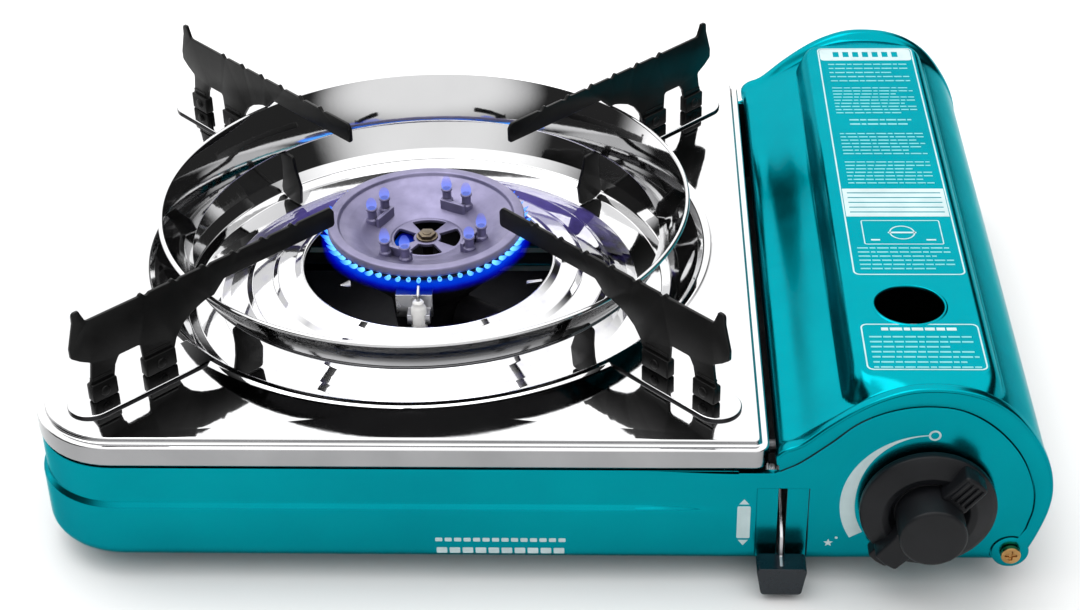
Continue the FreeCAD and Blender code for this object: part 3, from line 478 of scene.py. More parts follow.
def plate_loop(inset):
    """The plate's rounded outline, drawn in by the inset."""
    width, depth = PLATE_WIDTH - inset, PLATE_DEPTH - inset
    left, right = LEFT_CORNER - inset, max(RIGHT_CORNER - inset, 0.8)
    loop = arc_points((inset + left, inset + left), left, 180, 270, CORNER_STEPS)
    loop += arc_points((width - right, inset + right), right, 270, 360, CORNER_STEPS)
    loop += arc_points((width - right, depth - right), right, 0, 90, CORNER_STEPS)
    return loop + arc_points((inset + left, depth - left), left, 90, 180, CORNER_STEPS)


DECK = 1.9
DISH_EDGE = 108.5
STEEP = 0.45
BURNER_CENTRE = (126, 127)
TURNS = 256
DISH = [(DISH_EDGE, DECK), (106.2, 2.8), (104, 2.6), (102, 0.6), (98.6, -5.5), (95, -11.6), (92, -15.2),
        (88.5, -16.6), (79, -16.6), (75.5, -15.4), (69, -12.8), (67, -11.3), (59, -9.3), (57, -7.9),
        (50.5, -6.6), (47.8, -5.3), (46.9, -6.0), (46.6, -7.2)]


def rim_profile():
    """(inset, height) from the rim's lower edge over the step to the deck."""
    corners = [(0.9, -7.1), (0.4, -7.7), (0, -7.0), (0, 0), (3.0, 0), (3.0, DECK), (4.2, DECK)]
    return rounded(corners, 0.85, 4, closed=False)


def top_plate():
    """The pressed sheet from its rim to the edge of the burner's opening."""
    bm = bmesh.new()
    rings, loops = [], []
    for inset, level in rim_profile():
        loops.append(plate_loop(inset))
        rings.append([bm.verts.new(case_at(p.x, p.y, level)) for p in loops[-1]])
    skin(bm, rings)
    bowl = []
    for radius, level in rounded(DISH, 1.6, 5, closed=False):
        ring = circle(radius, TURNS, BURNER_CENTRE, True)
        bowl.append([bm.verts.new(case_at(p.x, p.y, level)) for p in ring])
    skin(bm, bowl)
    fill(bm, [rings[-1], bowl[0]], [loops[-1], circle(DISH_EDGE, TURNS, BURNER_CENTRE, True)])
    piece = finished("plate_sheet", bm, "stove_body", "mirror_steel", "top_plate", 60)
    # the plate's upright rim gets painted shade: darker steel for the dark reflection it shows
    second_finish(piece, RIM_SHADE, lambda centre, normal: abs(normal.z) < STEEP
                  and burner_radius(centre) > DISH_EDGE - 0.5)
    sheet_gauge(piece)
    even_normals(piece)


def about_burner(angle):
    """Local (radial, across, height) in mm to the frame, for a direction about the burner."""
    c, s = math.cos(math.radians(angle)), math.sin(math.radians(angle))
    return lambda u, v, w: burner_at(u * c - v * s, u * s + v * c, w)


def upright_about_burner(angle):
    """Local (radial, height, thickness) in mm to the frame."""
    c, s = math.cos(math.radians(angle)), math.sin(math.radians(angle))
    return lambda u, v, w: burner_at(u * c - w * s, u * s + w * c, v)


DIAGONALS = {"front_left": 225, "front_right": 315, "rear_left": 135, "rear_right": 45}


def plate_pads():
    """The four raised pads that the trivet's feet stand between."""
    bm = bmesh.new()
    half, near, far = 8.3, 104.2, 149
    for angle in DIAGONALS.values():
        loop = [Vector((near, half)), Vector((near, -half))] + arc_points((far, 0), half, -90, 90, 24)
        slab(bm, [loop], DECK - 0.7, PAD_TOP, about_burner(angle), 0.5, 4)
    piece = finished("plate_pads", bm, "stove_body", "mirror_steel", "top_plate", 60, weighted=True)
    # the pads' upright walls get painted shade: near-black steel for their dark reflections
    second_finish(piece, SHADED_EDGE, lambda centre, normal: abs(normal.z) < 0.8)


top_plate()
plate_pads()


# -------- trivet

def trivet_ring():
    """The cone of sheet with a rolled edge below and above."""
    bm = bmesh.new()
    outline = [(88.9, 6.2)] + arc_points((88.3, 5.75), 0.85, 20, -190, 12)
    outline += arc_points((97.6, 21.1), 0.9, 160, -20, 12)
    lathe(bm, outline, about_burner(0), TURNS)
    piece = finished("trivet_cone", bm, "trivet", "mirror_steel", "trivet_ring", 50)
    top_roll = burner_at(0, 0, 20.6).z

    def outer_wall(centre, normal):
        outward = (centre.x - BURNER.x) * normal.x + (centre.y - BURNER.y) * normal.y
        return outward > 0 and centre.z < top_roll

    # the cone's outer wall gets painted shade: dark steel, darker towards its top
    second_finish(piece, SHADED, outer_wall)


FIRST_TOOTH, TOOTH_PITCH = 61, 12.7
TOOTH = [(-3, 35), (-1.6, 34.0), (0, 35.9), (0.9, 35.7), (1.4, 35)]
FEET = ((139, 149), (115, 127.6))
HALF_SHEET = 0.65


def arm_outline():
    """(radial, height) round an arm: its toothed top, raised tip and two feet."""
    outline = [(42.5, 27), (42.5, 33), (43.9, 35)]
    for number in range(6):
        place = FIRST_TOOTH + TOOTH_PITCH * number
        outline += [(place + along, level) for along, level in TOOTH]
    outline += [(146.6, 35), (148.3, 39), (148.6, 40), (151.4, 40), (151.6, 36), (154.2, 27), (154.2, 23.4),
                (151, 20.8), (147, 18.4), (148, 12), (149, 9.6), (149, 3.1), (139, 3.1), (139, 10),
                (138.2, 13.6), (136.4, 16.6), (127.6, 16.6), (127.2, 9.6), (127.6, 3.1), (115, 3.1), (115, 8),
                (113.4, 12.4), (110.4, 16.4), (106.4, 19.4), (102, 21.2), (99.2, 22.1), (96.4, 22.1),
                (91.4, 26.8)]
    return rounded(outline, 1.3, 3)


def arm(name, angle):
    """One black sheet arm, with a thick foot, a groove and a stud at each of its feet."""
    bm = bmesh.new()
    place = upright_about_burner(angle)
    slab(bm, [arm_outline()], -HALF_SHEET, HALF_SHEET, place, 0.28, 3)
    for near, far in FEET:
        slab(bm, [box_loop(near, 3.1, far, 10.1, 0.8)], -1.7, 1.7, place, 0.35, 3)
        slab(bm, [box_loop(near + 1.0, 11.2, far - 1.0, 12.2, 0.3, 2)], -0.95, 0.95, place, 0.2, 2)
        slab(bm, [circle(1.9, 24, ((near + far) / 2, 6.4))], -2.25, 2.25, place, 0.5, 3)
    finished("arm_blade_" + name, bm, "trivet", "black_enamel", "arm_" + name, 50)


def post(name, angle):
    """One of the posts that carry the cone from the basin."""
    bm = bmesh.new()
    outline = rounded([(79.6, -16.2), (87.4, -16.2), (91, -14.7), (91.4, -12), (90.2, -7), (89.8, -2),
                       (90.2, 4.9), (82.4, 4.9), (81.4, 0), (78.6, -8)], 1.4, 3)
    slab(bm, [outline], -HALF_SHEET, HALF_SHEET, upright_about_burner(angle), 0.25, 3)
    finished("post_blade_" + name, bm, "trivet", "black_enamel", "post_" + name, 50)


trivet_ring()
for corner_name, corner_angle in DIAGONALS.items():
    arm(corner_name, corner_angle)
    post(corner_name, corner_angle)


# -------- burner

HUB_LEVEL, HUB_RADIUS, HUB_SHEET = 3.4, 13.2, 1.5


def burner_cap():
    """The dished cap: a hub with four openings, a sloping face and a rounded rim."""
    bm = bmesh.new()
    place = about_burner(0)
    under = HUB_LEVEL - HUB_SHEET
    spread, inner, outer = 62, 5.2, 12.5
    petals = []
    for quarter in range(4):
        start = 90 * quarter - spread // 2
        petals.append(rounded(arc_points((0, 0), outer, start, start + spread, 10)
                              + arc_points((0, 0), inner, start + spread, start, 6), 1.2, 3))
    slab(bm, [circle(HUB_RADIUS + 0.5, 128), circle(2.3, 32)] + petals, under, HUB_LEVEL, place, 0.4, 3)
    face = [(HUB_RADIUS + 0.4, under), (HUB_RADIUS, HUB_LEVEL), (19, 5.0), (25, 7.4), (29.5, 9.6),
            (32.6, 10.9), (33.2, 12.3), (37, 12.3), (37, 9.4), (35.8, 8.4), (31, 8.4)]
    lathe(bm, rounded(face, 0.8, 4), place, 192)
    finished("cap_disc", bm, "stove_body", "burner_alloy", "burner_cap", 42)


def hub_bolt():
    """The bolt through the hub: its shank, a washer, a hexagon and the stud's rounded end."""
    bm = bmesh.new()
    place = about_burner(0)
    shank, low, washer, nut, end = 1.9, -31, HUB_LEVEL + 0.7, HUB_LEVEL + 1.9, HUB_LEVEL + 2.2
    lathe(bm, [(0, low), (shank, low), (shank, HUB_LEVEL), (0, HUB_LEVEL)], place, 24, closed=False)
    lathe(bm, box_loop(1.0, HUB_LEVEL, 4.1, washer, 0.2, 2), place, 48)
    slab(bm, [rounded(circle(3.4, 6), 0.2, 2)], HUB_LEVEL + 0.6, nut, place, 0.25, 3)
    stud = rounded([(1.7, HUB_LEVEL + 1.8), (1.7, end), (0, end)], 0.5, 4, closed=False)
    lathe(bm, stud, place, 24, closed=False)
    finished("hub_bolt", bm, "stove_body", "zinc_steel", "cap_bolt", 40, SCORCHED)


NOZZLE_CIRCLE, PAIR_SPREAD = 22, 11.5
PAIR_ANGLES = [62 + 90 * k for k in range(4)]


def nozzle_places(angle):
    """The axes of a pair's two nozzles."""
    turns = [math.radians(angle + side) for side in (-PAIR_SPREAD, PAIR_SPREAD)]
    return [(NOZZLE_CIRCLE * math.cos(turn), NOZZLE_CIRCLE * math.sin(turn)) for turn in turns]


def above_nozzle(x, y):
    """Local (x, y, height) in mm about a nozzle's axis to the frame."""
    return lambda u, v, w: burner_at(x + u, y + v, w)


NOZZLES = [place for angle in PAIR_ANGLES for place in nozzle_places(angle)]


def nozzle_pair(number, angle):
    """Two short tubes with rolled mouths, held by an upright strap on the side of the hub."""
    bm = bmesh.new()
    tube_wall = rounded([(2.3, 5.0), (2.3, 7.6), (1.75, 8.2), (1.75, 11.2), (2.2, 11.7), (2.2, 12.35),
                         (1.35, 12.35), (0.95, 11.4), (0.95, 5.0)], 0.25, 3)
    for x, y in nozzle_places(angle):
        lathe(bm, tube_wall, above_nozzle(x, y), 28)
    slab(bm, [box_loop(17.9, -5.4, 19.5, 5.4, 0.5)], 4.2, 8.8, about_burner(angle), 0.3, 3)
    finished(f"nozzles_{number}", bm, "stove_body", "burner_alloy", f"nozzle_pair_{number}", 40)


def opening_tabs():
    """Two small bent tabs inside the burner's opening that steady the bowl."""
    bm = bmesh.new()
    left_tab = rounded([(-34.5, -4.6), (-30.4, -0.6), (-29.4, -5.8)], 0.6, 3)
    slab(bm, [left_tab], -16.4, -15.4, about_burner(0), 0.2, 2)
    right_tab = rounded([(37.4, -11.6), (43.6, -10.0), (43.2, -8.4), (37.6, -9.6)], 0.4, 3)
    slab(bm, [right_tab], -10.8, -9.9, about_burner(0), 0.2, 2)
    finished("opening_tabs", bm, "stove_body", "zinc_steel", None, 40)


opening_tabs()
burner_cap()
hub_bolt()
for index, pair_angle in enumerate(PAIR_ANGLES, start=1):
    nozzle_pair(index, pair_angle)


# -------- flames

FLICKER, FLICKER_SCALE = 0.3, 260


def flame_material(name, core, edge, strength, near, far, solid):
    """Flickering light that fades and deepens with the measure stored by flame_piece()."""
    mat, tree, shade = new_surface(name, {"Base Color": (0, 0, 0, 1), "Specular IOR Level": 0,
                                          "Emission Strength": strength, "Roughness": 1})
    fade = shader_node(tree, "ShaderNodeAttribute")
    fade.attribute_name = "fade"
    place = shader_node(tree, "ShaderNodeTexCoord").outputs["Object"]
    flicker = shader_node(tree, "ShaderNodeTexNoise", {"Scale": FLICKER_SCALE}, {"Vector": place})
    lowered = shader_node(tree, "ShaderNodeMath", {1: FLICKER / 2}, {0: fade.outputs["Fac"]}, "SUBTRACT")
    sources = {0: flicker.outputs["Fac"], 2: lowered.outputs["Value"]}
    sway = shader_node(tree, "ShaderNodeMath", {1: FLICKER}, sources, "MULTIPLY_ADD").outputs["Value"]
    tree.links.new(two_shades(tree, sway, near, core, far, edge), shade.inputs["Emission Color"])
    tree.links.new(ranged(tree, sway, near, 1.0, solid, 0.0, "LINEAR"), shade.inputs["Alpha"])
    return mat


FLAME = flame_material("flame_blue", (0.14, 0.50, 1.0), (0.0, 0.12, 1.0), 2.1, 0.1, 0.75, 0.95)
PLUME = flame_material("flame_plume", (0.20, 0.30, 1.0), (0.10, 0.14, 0.95), 1.15, 0.1, 0.9, 0.62)
GLOW = flame_material("flame_glow", (0.0, 0.10, 1.0), (0.0, 0.0, 0.7), 1.0, 0.1, 0.62, 0.42)
# painted light: the flames' violet glow on the basin round the burner
SHEEN = flame_material("flame_sheen", (0.11, 0.08, 0.42), (0.22, 0.17, 0.72), 1.0, 0.1, 0.8, 0.8)


def flame_piece(name, bm, mat, measure):
    """A piece of flame that stores how far each vertex is towards the flame's faint end."""
    piece = finished(name, bm, "stove_body", "ceramic", None, 180, mat)
    layer = piece.data.attributes.new("fade", "FLOAT", "POINT")
    for i, vertex in enumerate(piece.data.vertices):
        layer.data[i].value = min(max(measure(vertex.co), 0), 1)
    return piece


PORTS = 60
FLAME_START, FLAME_SIDES, FLAME_STEPS = 35.3, 10, 8
FLAME_LEVEL, FLAME_RISE, FADE_LENGTH = 7.3, 2.4, 6.0


def flame_ring():
    """A ring of flame tongues, one for each port, curling out and up from under the cap."""
    bm = bmesh.new()
    upwards = Vector((0, 0, 1))
    turns = [2 * math.pi * k / FLAME_SIDES for k in range(FLAME_SIDES)]
    for port in range(PORTS):
        angle = 2 * math.pi * port / PORTS
        out = Vector((math.cos(angle), math.sin(angle), 0))
        across = Vector((-out.y, out.x, 0))
        length = 4.2 + 0.7 * math.sin(port * 2.4)
        around = [across * math.cos(a) * 0.8 + upwards * math.sin(a) for a in turns]
        rings = []
        for step in range(FLAME_STEPS + 1):
            t = step / FLAME_STEPS
            swell = 0.7 + 0.35 * math.sin(math.pi * min(t * 1.1, 1))
            girth = swell * math.sqrt(1 - t * t) + 0.02
            reach, lift = FLAME_START + length * t, FLAME_LEVEL + FLAME_RISE * t * t
            centre = BURNER + (out * reach + upwards * lift) * MM
            rings.append([bm.verts.new(centre + offset * girth * MM) for offset in around])
        skin(bm, rings)
    return flame_piece("flame_tongues", bm, FLAME, lambda co: (burner_radius(co) - FLAME_START) / FADE_LENGTH)


def flame_glow():
    """The unbroken light that hangs round the tongues, in thin layers."""
    bm = bmesh.new()
    for drop in (6.6, 6.0, 5.4, 4.8, 4.2):
        profile = [(34.9 + 0.68 * k, drop - 0.015 * k * k) for k in range(8)]
        lathe(bm, profile, about_burner(0), closed=False)
    return flame_piece("flame_haze", bm, GLOW, lambda co: (burner_radius(co) - 35) / 4.8)


def flame_plumes():
    """A small upright flame on each nozzle."""
    bm = bmesh.new()
    for number, (x, y) in enumerate(NOZZLES):
        tip = 17.2 + 0.7 * math.sin(number * 1.9)
        profile = [(1.3, 11.8), (1.9, 12.9), (2.0, 14.0), (1.75, 15.2), (1.1, tip - 0.6), (0, tip)]
        lathe(bm, rounded(profile, 0.8, 3, closed=False), above_nozzle(x, y), 20, closed=False)
    return flame_piece("flame_plumes", bm, PLUME, lambda co: ((co.z - BURNER.z) / MM - 12) / FADE_LENGTH)


def flame_core():
    """The flame seen through the hub's left opening."""
    bm = bmesh.new()
    rings = []
    for step in range(9):
        angle = math.radians(144 + 9 * step)
        rings.append([bm.verts.new(burner_at(radius * math.cos(angle), radius * math.sin(angle), level))
                      for radius, level in ((4.6, 0.2), (7, 0.9), (9.5, 1.1), (12.6, 0.4))])
    skin(bm, rings, closed=False)
    return flame_piece("flame_core", bm, GLOW,
                       lambda co: abs(math.atan2(co.y - BURNER.y, BURNER.x - co.x)) / 0.9)


def flame_sheen():
    """Painted violet light on the basin round the burner: the glow that the flames throw on it."""
    bm = bmesh.new()
    slope = [(radius, level + 0.4) for radius, level in DISH if 47 < radius < 84]
    lathe(bm, slope, about_burner(0), closed=False)

    def paleness(co):
        """No painted light in front of the burner and a soft painted violet glow behind it."""
        radius = burner_radius(co)
        behind = eased((co.y - BURNER.y) / (radius * MM), 0.1, 0.85)
        return 1 - behind * (0.34 - 0.14 * eased(radius, 60, 80))

    return flame_piece("flame_sheen", bm, SHEEN, paleness)


# turning the knob puts the flames out; each flame piece gets a mesh of its own
for flames in (flame_ring(), flame_glow(), flame_core(), flame_sheen()):
    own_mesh(flames)
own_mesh(flame_plumes())


# -------- knob

KNOB_X, KNOB_Z = 300.2, -20.4
GRIP_ANGLE = 50


def on_knob(angle=0):
    """Local (across, up, out) in mm about the knob's axis to the frame."""
    c, s = math.cos(math.radians(angle)), math.sin(math.radians(angle))
    return lambda u, v, w: case_at(KNOB_X + u * c - v * s, FRONT - w, KNOB_Z + u * s + v * c)


def control_knob():
    """The round skirt, the two wings of the grip with ribs on one, and the pointer."""
    bm = bmesh.new()
    skirt = rounded([(3.6, 1.0), (22.5, 1.0), (22.5, 4.3), (20.8, 5.2), (15.6, 7.4), (13.2, 6.8), (11.6, 4.6),
                     (11.0, 4.4), (11.0, 19.0), (0, 19.0)], 1.1, 5, closed=False)
    lathe(bm, skirt, on_knob(), 160, closed=False)
    ribbed, plain = on_knob(GRIP_ANGLE), on_knob(GRIP_ANGLE + 180)
    grip = rounded([(9.6, -5.2), (21.6, -4.6), (22.2, 0), (21.6, 4.6), (9.6, 5.2)], 1.2, 3)
    for side in (ribbed, plain):
        slab(bm, [grip], 3.0, 11.6, side, 1.0, 5)
    for offset in (-3.3, -1.1, 1.1, 3.3):
        slab(bm, [box_loop(12.2, offset - 0.5, 20.6, offset + 0.5, 0.4, 2)], 11.0, 12.4, ribbed, 0.35, 3)
    pointer = rounded([(17, -4.4), (25.0, -4.0), (25.4, 0), (25.0, 4.0), (17, 4.4)], 1.2, 3)
    slab(bm, [pointer], 1.2, 7.4, plain, 0.9, 4)
    finished("knob_moulding", bm, "knob", "charcoal_plastic", "control_knob", 38)


control_knob()


# -------- lid

ARCH = [(250, -2), (252.5, 0.8), (258, 3.4), (266, 10.4), (274, 16.6), (282, 21.4), (291, 24.7),
        (299.5, 25.5), (309, 24.6), (318, 21.4), (326.5, 15.2), (334, 5.2), (339, -5), (341, -15),
        (340.4, -24), (338, -33), (335.6, -39.6)]
SEAM = [(249.4, -8.6), (252.6, -7.1), (258, -4.0), (267, 3.6), (276.5, 12.2), (287, 17.0), (298, 18.6),
        (309, 17.0), (319.5, 10.6), (328.5, 0), (333.8, -12), (335, -22), (333.4, -31)]


def spline(points, per_span):
    """A smooth line through the points."""
    points = [Vector(p) for p in points]
    result = []
    for i in range(len(points) - 1):
        before = points[i - 1] if i else points[0] * 2 - points[1]
        a, b = points[i], points[i + 1]
        after = points[i + 2] if i + 2 < len(points) else b * 2 - a
        for k in range(per_span):
            t = k / per_span
            result.append(0.5 * (2 * a + (b - before) * t + (2 * before - 5 * a + 4 * b - after) * t * t
                                 + (3 * a - before - 3 * b + after) * t ** 3))
    return result + [points[-1]]


LID_FOOT = 250
ARCH_LINE = spline([(LID_FOOT, -5.2)] + ARCH, 12)
PANEL_LEFT, PANEL_RIGHT, PANEL_NEAR, PANEL_FAR = 272.0, 324.0, 4.0, 252.0
PANEL_TOP = 23.0


def panel_share(x, y):
    """1 on the flat panel, 0 off it, with a crease at the foot of its sloping sides."""
    radius = 8.0
    from_end = min(y - PANEL_NEAR, PANEL_FAR - y) * 0.62
    dx = max(PANEL_LEFT + radius - x, x - PANEL_RIGHT + radius, 0)
    dy = max(radius - from_end, 0)
    near_edge = min(x - PANEL_LEFT, PANEL_RIGHT - x, from_end)
    depth = radius - math.hypot(dx, dy) if dx and dy else near_edge
    t = min(max(depth / 5.5, 0), 1)
    return 1 - (1 - t) ** 2.2


def arch_direction(index):
    behind, ahead = ARCH_LINE[max(index - 1, 0)], ARCH_LINE[min(index + 1, len(ARCH_LINE) - 1)]
    return (ahead - behind).normalized()


def lid_point(index, y):
    """(x, z) of the lid's skin: the arch, pressed in behind its end bands and flat on the panel."""
    point = ARCH_LINE[index]
    waist = eased(min(y - FRONT, REAR - y), 3.2, 6.4)
    crown = eased(point.x, 254, 276) * (1 - eased(point.x, 322, 336)) if point.y > -8 else 0
    along = arch_direction(index)
    x, z = point + Vector((along.y, -along.x)) * (waist * (0.5 + 2.1 * crown))
    return x, z + (PANEL_TOP - z) * panel_share(x, y)


def lid_skin():
    """The lid's sheet, with closer stations at the rounded ends."""
    bm = bmesh.new()
    ends = [0, 0.25, 0.6, 1.0, 1.6, 2.4, 3.2, 3.8, 4.4, 5.0, 5.6, 6.2, 6.6, 7.0, 7.6, 8.2, 8.8, 9.6, 10.4,
            11.4, 12.4, 13.6, 15, 17, 20, 24]
    middle = [30 + 9.85 * k for k in range(21)]
    rings = []
    for y in [FRONT + end for end in ends] + middle + [REAR - end for end in reversed(ends)]:
        turn = max(1 - min(y - FRONT, REAR - y), 0)
        drop = 1 - math.sqrt(1 - turn * turn)
        ring = []
        for i in range(len(ARCH_LINE)):
            x, z = lid_point(i, y)
            along = arch_direction(i)
            ring.append(bm.verts.new(case_at(x + along.y * drop, y, z - along.x * drop)))
        rings.append(ring)
    skin(bm, rings, closed=False)
    return finished("lid_skin", bm, "lid", "teal_paint", "lid", 70)


PIVOT = (329.4, -41.2)


def to_the_right(line, distance):
    """An open line moved to its right by the distance."""
    result = []
    for i, point in enumerate(line):
        along = (line[min(i + 1, len(line) - 1)] - line[max(i - 1, 0)]).normalized()
        result.append(point + Vector((along.y, -along.x)) * distance)
    return result


def flange_loop():
    """The upright band at each end of the lid, between its arched edge and the seam, with the pivot's tab."""
    arched = to_the_right(ARCH_LINE, 0.95)
    seam = [point for point in to_the_right(spline(SEAM, 8), -0.45) if point.x > LID_FOOT + 1]
    tab = arc_points(PIVOT, 6.2, 12, -288, 40)
    return arched[:-1] + tab + seam[::-1]


def on_front(u, v, w):
    """Local (x, height, outwards) in mm on the case's front to the frame."""
    return case_at(u, FRONT - w, v)


def lid_flanges():
    """The lid's two upright end bands, with the holes for its pivots."""
    bm = bmesh.new()
    loops = [flange_loop(), circle(2.2, 24, PIVOT)]
    slab(bm, loops, 0, 0.85, lambda u, v, w: case_at(u, FRONT + w, v), 0.12, 2)
    slab(bm, loops, 0, 0.85, lambda u, v, w: case_at(u, REAR - w, v), 0.12, 2)
    finished("lid_flanges", bm, "lid", "teal_paint", "lid", 60)


SIGHT_HOLE, HOLE_RADIUS = (297, 51.7), 11.9


def about_sight_hole(u, v, w):
    return case_at(SIGHT_HOLE[0] + u, SIGHT_HOLE[1] + v, w)


def lid_hem():
    """The thin rolled edge round the sight hole."""
    bm = bmesh.new()
    lip = [(11.75, 22.2), (11.75, 23.1), (12.0, 23.32), (12.5, 23.32), (12.9, 23.02), (12.9, 22.2)]
    lathe(bm, lip, about_sight_hole, 96)
    finished("sight_hole_lip", bm, "lid", "teal_paint", "lid", 50)


def frame_loops(x0, y0, x1, y1, radius, width):
    inner = box_loop(x0 + width, y0 + width, x1 - width, y1 - width, radius - width * 0.7, 5)
    return [box_loop(x0, y0, x1, y1, radius, 5), inner]


WORD_GAP = 0.55


def text_rows(left, right, top, bottom, pitch, seed, height):
    """Rows of short bars that stand for lines of print."""
    marks = []
    row = 0
    y = top
    while y > bottom:
        x = left
        end = right - (2.0 + 5.0 * abs(math.sin(row * 1.7 + seed))) * (row % 3 == 2)
        word = 0
        while x < end - 1.4:
            length = 1.5 + 2.6 * abs(math.sin(row * 2.9 + word * 1.3 + seed))
            marks.append([box_loop(x, y - height, min(x + length, end), y)])
            x += length + WORD_GAP
            word += 1
        y -= pitch
        row += 1
    return marks


def label_marks():
    """The frames, headings and picture sign, then the rows of small print."""
    marks = [frame_loops(279.8, 70.5, 318.6, 243.5, 2.2, 0.55),
             frame_loops(279.2, 13.6, 318.4, 40.2, 2.2, 0.5),
             frame_loops(285.4, 90.4, 313.6, 106.8, 0.8, 0.4)]
    slots = [box_loop(x, 235.6, x + 2.4, 240.2) for x in range(286, 311, 4)]
    marks.append([box_loop(280.6, 232.6, 317.8, 242.7, 1.6, 4)] + slots)
    stripes = [box_loop(282.2, y, 316.4, y + 0.7) for y in (112.2, 115.6, 119.0, 122.4, 125.8)]
    marks.append([box_loop(280.6, 109.4, 317.8, 129.2)] + stripes)
    print_rows = []
    for left, right_end, top, bottom, pitch, seed, height in (
            (283.4, 315.2, 229.6, 214, 3.6, 0.4, 0.9), (283.4, 315.2, 209.0, 188, 2.6, 1.4, 0.75),
            (288, 312, 182.6, 176, 3.4, 2.2, 1.1), (283.4, 315.2, 171.4, 154, 2.6, 3.1, 0.75),
            (283.4, 315.2, 149.4, 132, 2.6, 4.3, 0.75), (282.6, 315.6, 88.4, 72.6, 2.7, 5.2, 0.8),
            (281.6, 316.4, 33.0, 15.2, 2.9, 7.7, 0.9)):
        print_rows += text_rows(left, right_end, top, bottom, pitch, seed, height)
    marks += text_rows(286.0, 311.0, 38.0, 35.4, 3.4, 6.6, 1.7)
    marks.append([circle(4.6, 40, (299.5, 98.4)), circle(4.1, 40, (299.5, 98.4))])
    marks.append([box_loop(294.4, 97.9, 304.6, 98.9, 0.3, 2)])
    marks += [[box_loop(288.0, 93.0, 291.2, 93.9)], [box_loop(307.6, 93.0, 311.0, 93.9)]]
    return marks, print_rows


def labels():
    """The print on the lid's panel, in a strong and a faint ink."""
    for name, marks, mat in zip(("lid_label", "lid_small_print"), label_marks(), (INK, FINE_INK)):
        bm = bmesh.new()
        for loops in marks:
            slab(bm, loops, PANEL_TOP - 0.05, PANEL_TOP + 0.07, case_at, 0.04, 1)
        finished(name, bm, "lid", "teal_paint", None, 30, mat)


def star(centre, outer, inner, points=5):
    """A star's outline with its first point upwards."""
    return [on_circle(centre, inner if k % 2 else outer, 180 / points * k + 90) for k in range(2 * points)]


def dial_sweep(steps=40):
    """A band round the knob that widens along its way."""
    outer, inner = [], []
    for k in range(steps + 1):
        t = k / steps
        angle = 93 + 118 * t
        width = 0.35 + 4.6 * eased(t, 0.0, 0.75)
        outer.append(on_circle((KNOB_X, KNOB_Z), 28.0 + 0.9 * t, angle))
        inner.append(on_circle((KNOB_X, KNOB_Z), 28.0 + 0.9 * t - width, angle))
    return outer + inner[::-1]


def front_marks():
    """The printed marks on the front: dial sweep, off ring, spark sign, lock bar and rows of print."""
    bm = bmesh.new()
    marks = [[dial_sweep()], [circle(2.05, 32, (300.6, 7.4)), circle(1.35, 32, (300.6, 7.4))],
             [star((268.6, -37.6), 1.7, 0.75)], [circle(0.5, 12, (271.2, -35.4))],
             [box_loop(237.9, -35.8, 242.3, -22.2, 0.5)],
             [[Vector((238.4, -36.6)), Vector((240.1, -38.9)), Vector((241.8, -36.6))]],
             [[Vector((238.4, -21.4)), Vector((241.8, -21.4)), Vector((240.1, -19.2))]]]
    rows = ((136.7, 183.6, -38.0, -36.4, 2.4), (137.0, 183.5, -43.0, -40.6, 3.6))
    for left, right_end, low, high, length in rows:
        pitch = length + 0.8
        for k in range(int((right_end - left) / pitch)):
            start = left + k * pitch
            marks.append([box_loop(start, low, start + length, high, 0.3, 2)])
    for loops in marks:
        slab(bm, loops, -0.02, 0.06, on_front, 0.03, 1)
    finished("front_marks", bm, "stove_body", "teal_paint", None, 30, INK)


lid_piece = lid_skin()
lid_flanges()
lid_hem()
labels()
front_marks()


def cut_hole(piece, place, radius, low, high):
    """Cuts a round hole straight down through the piece."""
    bm = bmesh.new()
    lathe(bm, [(0, low), (radius, low), (radius, high), (0, high)], place, 96, closed=False)
    bmesh.ops.recalc_face_normals(bm, faces=bm.faces)
    cutter = mesh_object("cutter", bm)
    hole = piece.modifiers.new("hole", "BOOLEAN")
    hole.operation = "DIFFERENCE"
    hole.solver = "EXACT"
    hole.object = cutter
    bpy.context.view_layer.update()
    done = bpy.data.meshes.new_from_object(piece.evaluated_get(bpy.context.evaluated_depsgraph_get()))
    piece.modifiers.clear()
    piece.data = done
    bpy.data.objects.remove(cutter)


sheet_gauge(lid_piece)
cut_hole(lid_piece, about_sight_hole, HOLE_RADIUS, 10, 40)
even_normals(lid_piece)


# -------- the other CAD nodes and the case

BODY_OF = {node: body for body, members in frame["record"]["behaviour"]["bodies"].items() for node in members}
HEROES = {"top_plate", "trivet_ring", "burner_cap", "cap_bolt", "control_knob", "lid"}
HEROES |= {f"nozzle_pair_{k}" for k in range(1, 5)}
HEROES |= {kind + corner for kind in ("arm_", "post_") for corner in DIAGONALS}
FINE = {node: refine(node, BODY_OF[node]) for node in NODES if node not in HEROES}


def shoulder_fairing():
    """Eases the case's stepped shoulder into its flat end panels, at the front and the rear."""
    bm = bmesh.new()
    step_low, step_high, step_depth, panel_left, proud = -24.5, -22.8, 1.4, 238, 0.03
    levels = [-24.6, -24.2, -23.8, -23.4, -23.0, -22.6, -20, -17, -14, -11, -8.7]
    for end, inward in ((FRONT, 1), (REAR, -1)):
        rings = []
        for x in [panel_left - 34 + 2 * k for k in range(18)] + [panel_left + 1.5]:
            depth = step_depth * (1 - eased(x, panel_left - 33, panel_left - 0.5))
            sheet = [(end + inward * (depth * eased(z, step_low, step_high) - proud), z) for z in levels]
            rings.append([bm.verts.new(case_at(x, y, z)) for y, z in sheet])
        skin(bm, rings, closed=False)
    piece = finished("shoulder_fairing", bm, "stove_body", "teal_paint", None, 60)
    if any(face.center.y < 0 and face.normal.y > 0 for face in piece.data.polygons):
        piece.data.flip_normals()


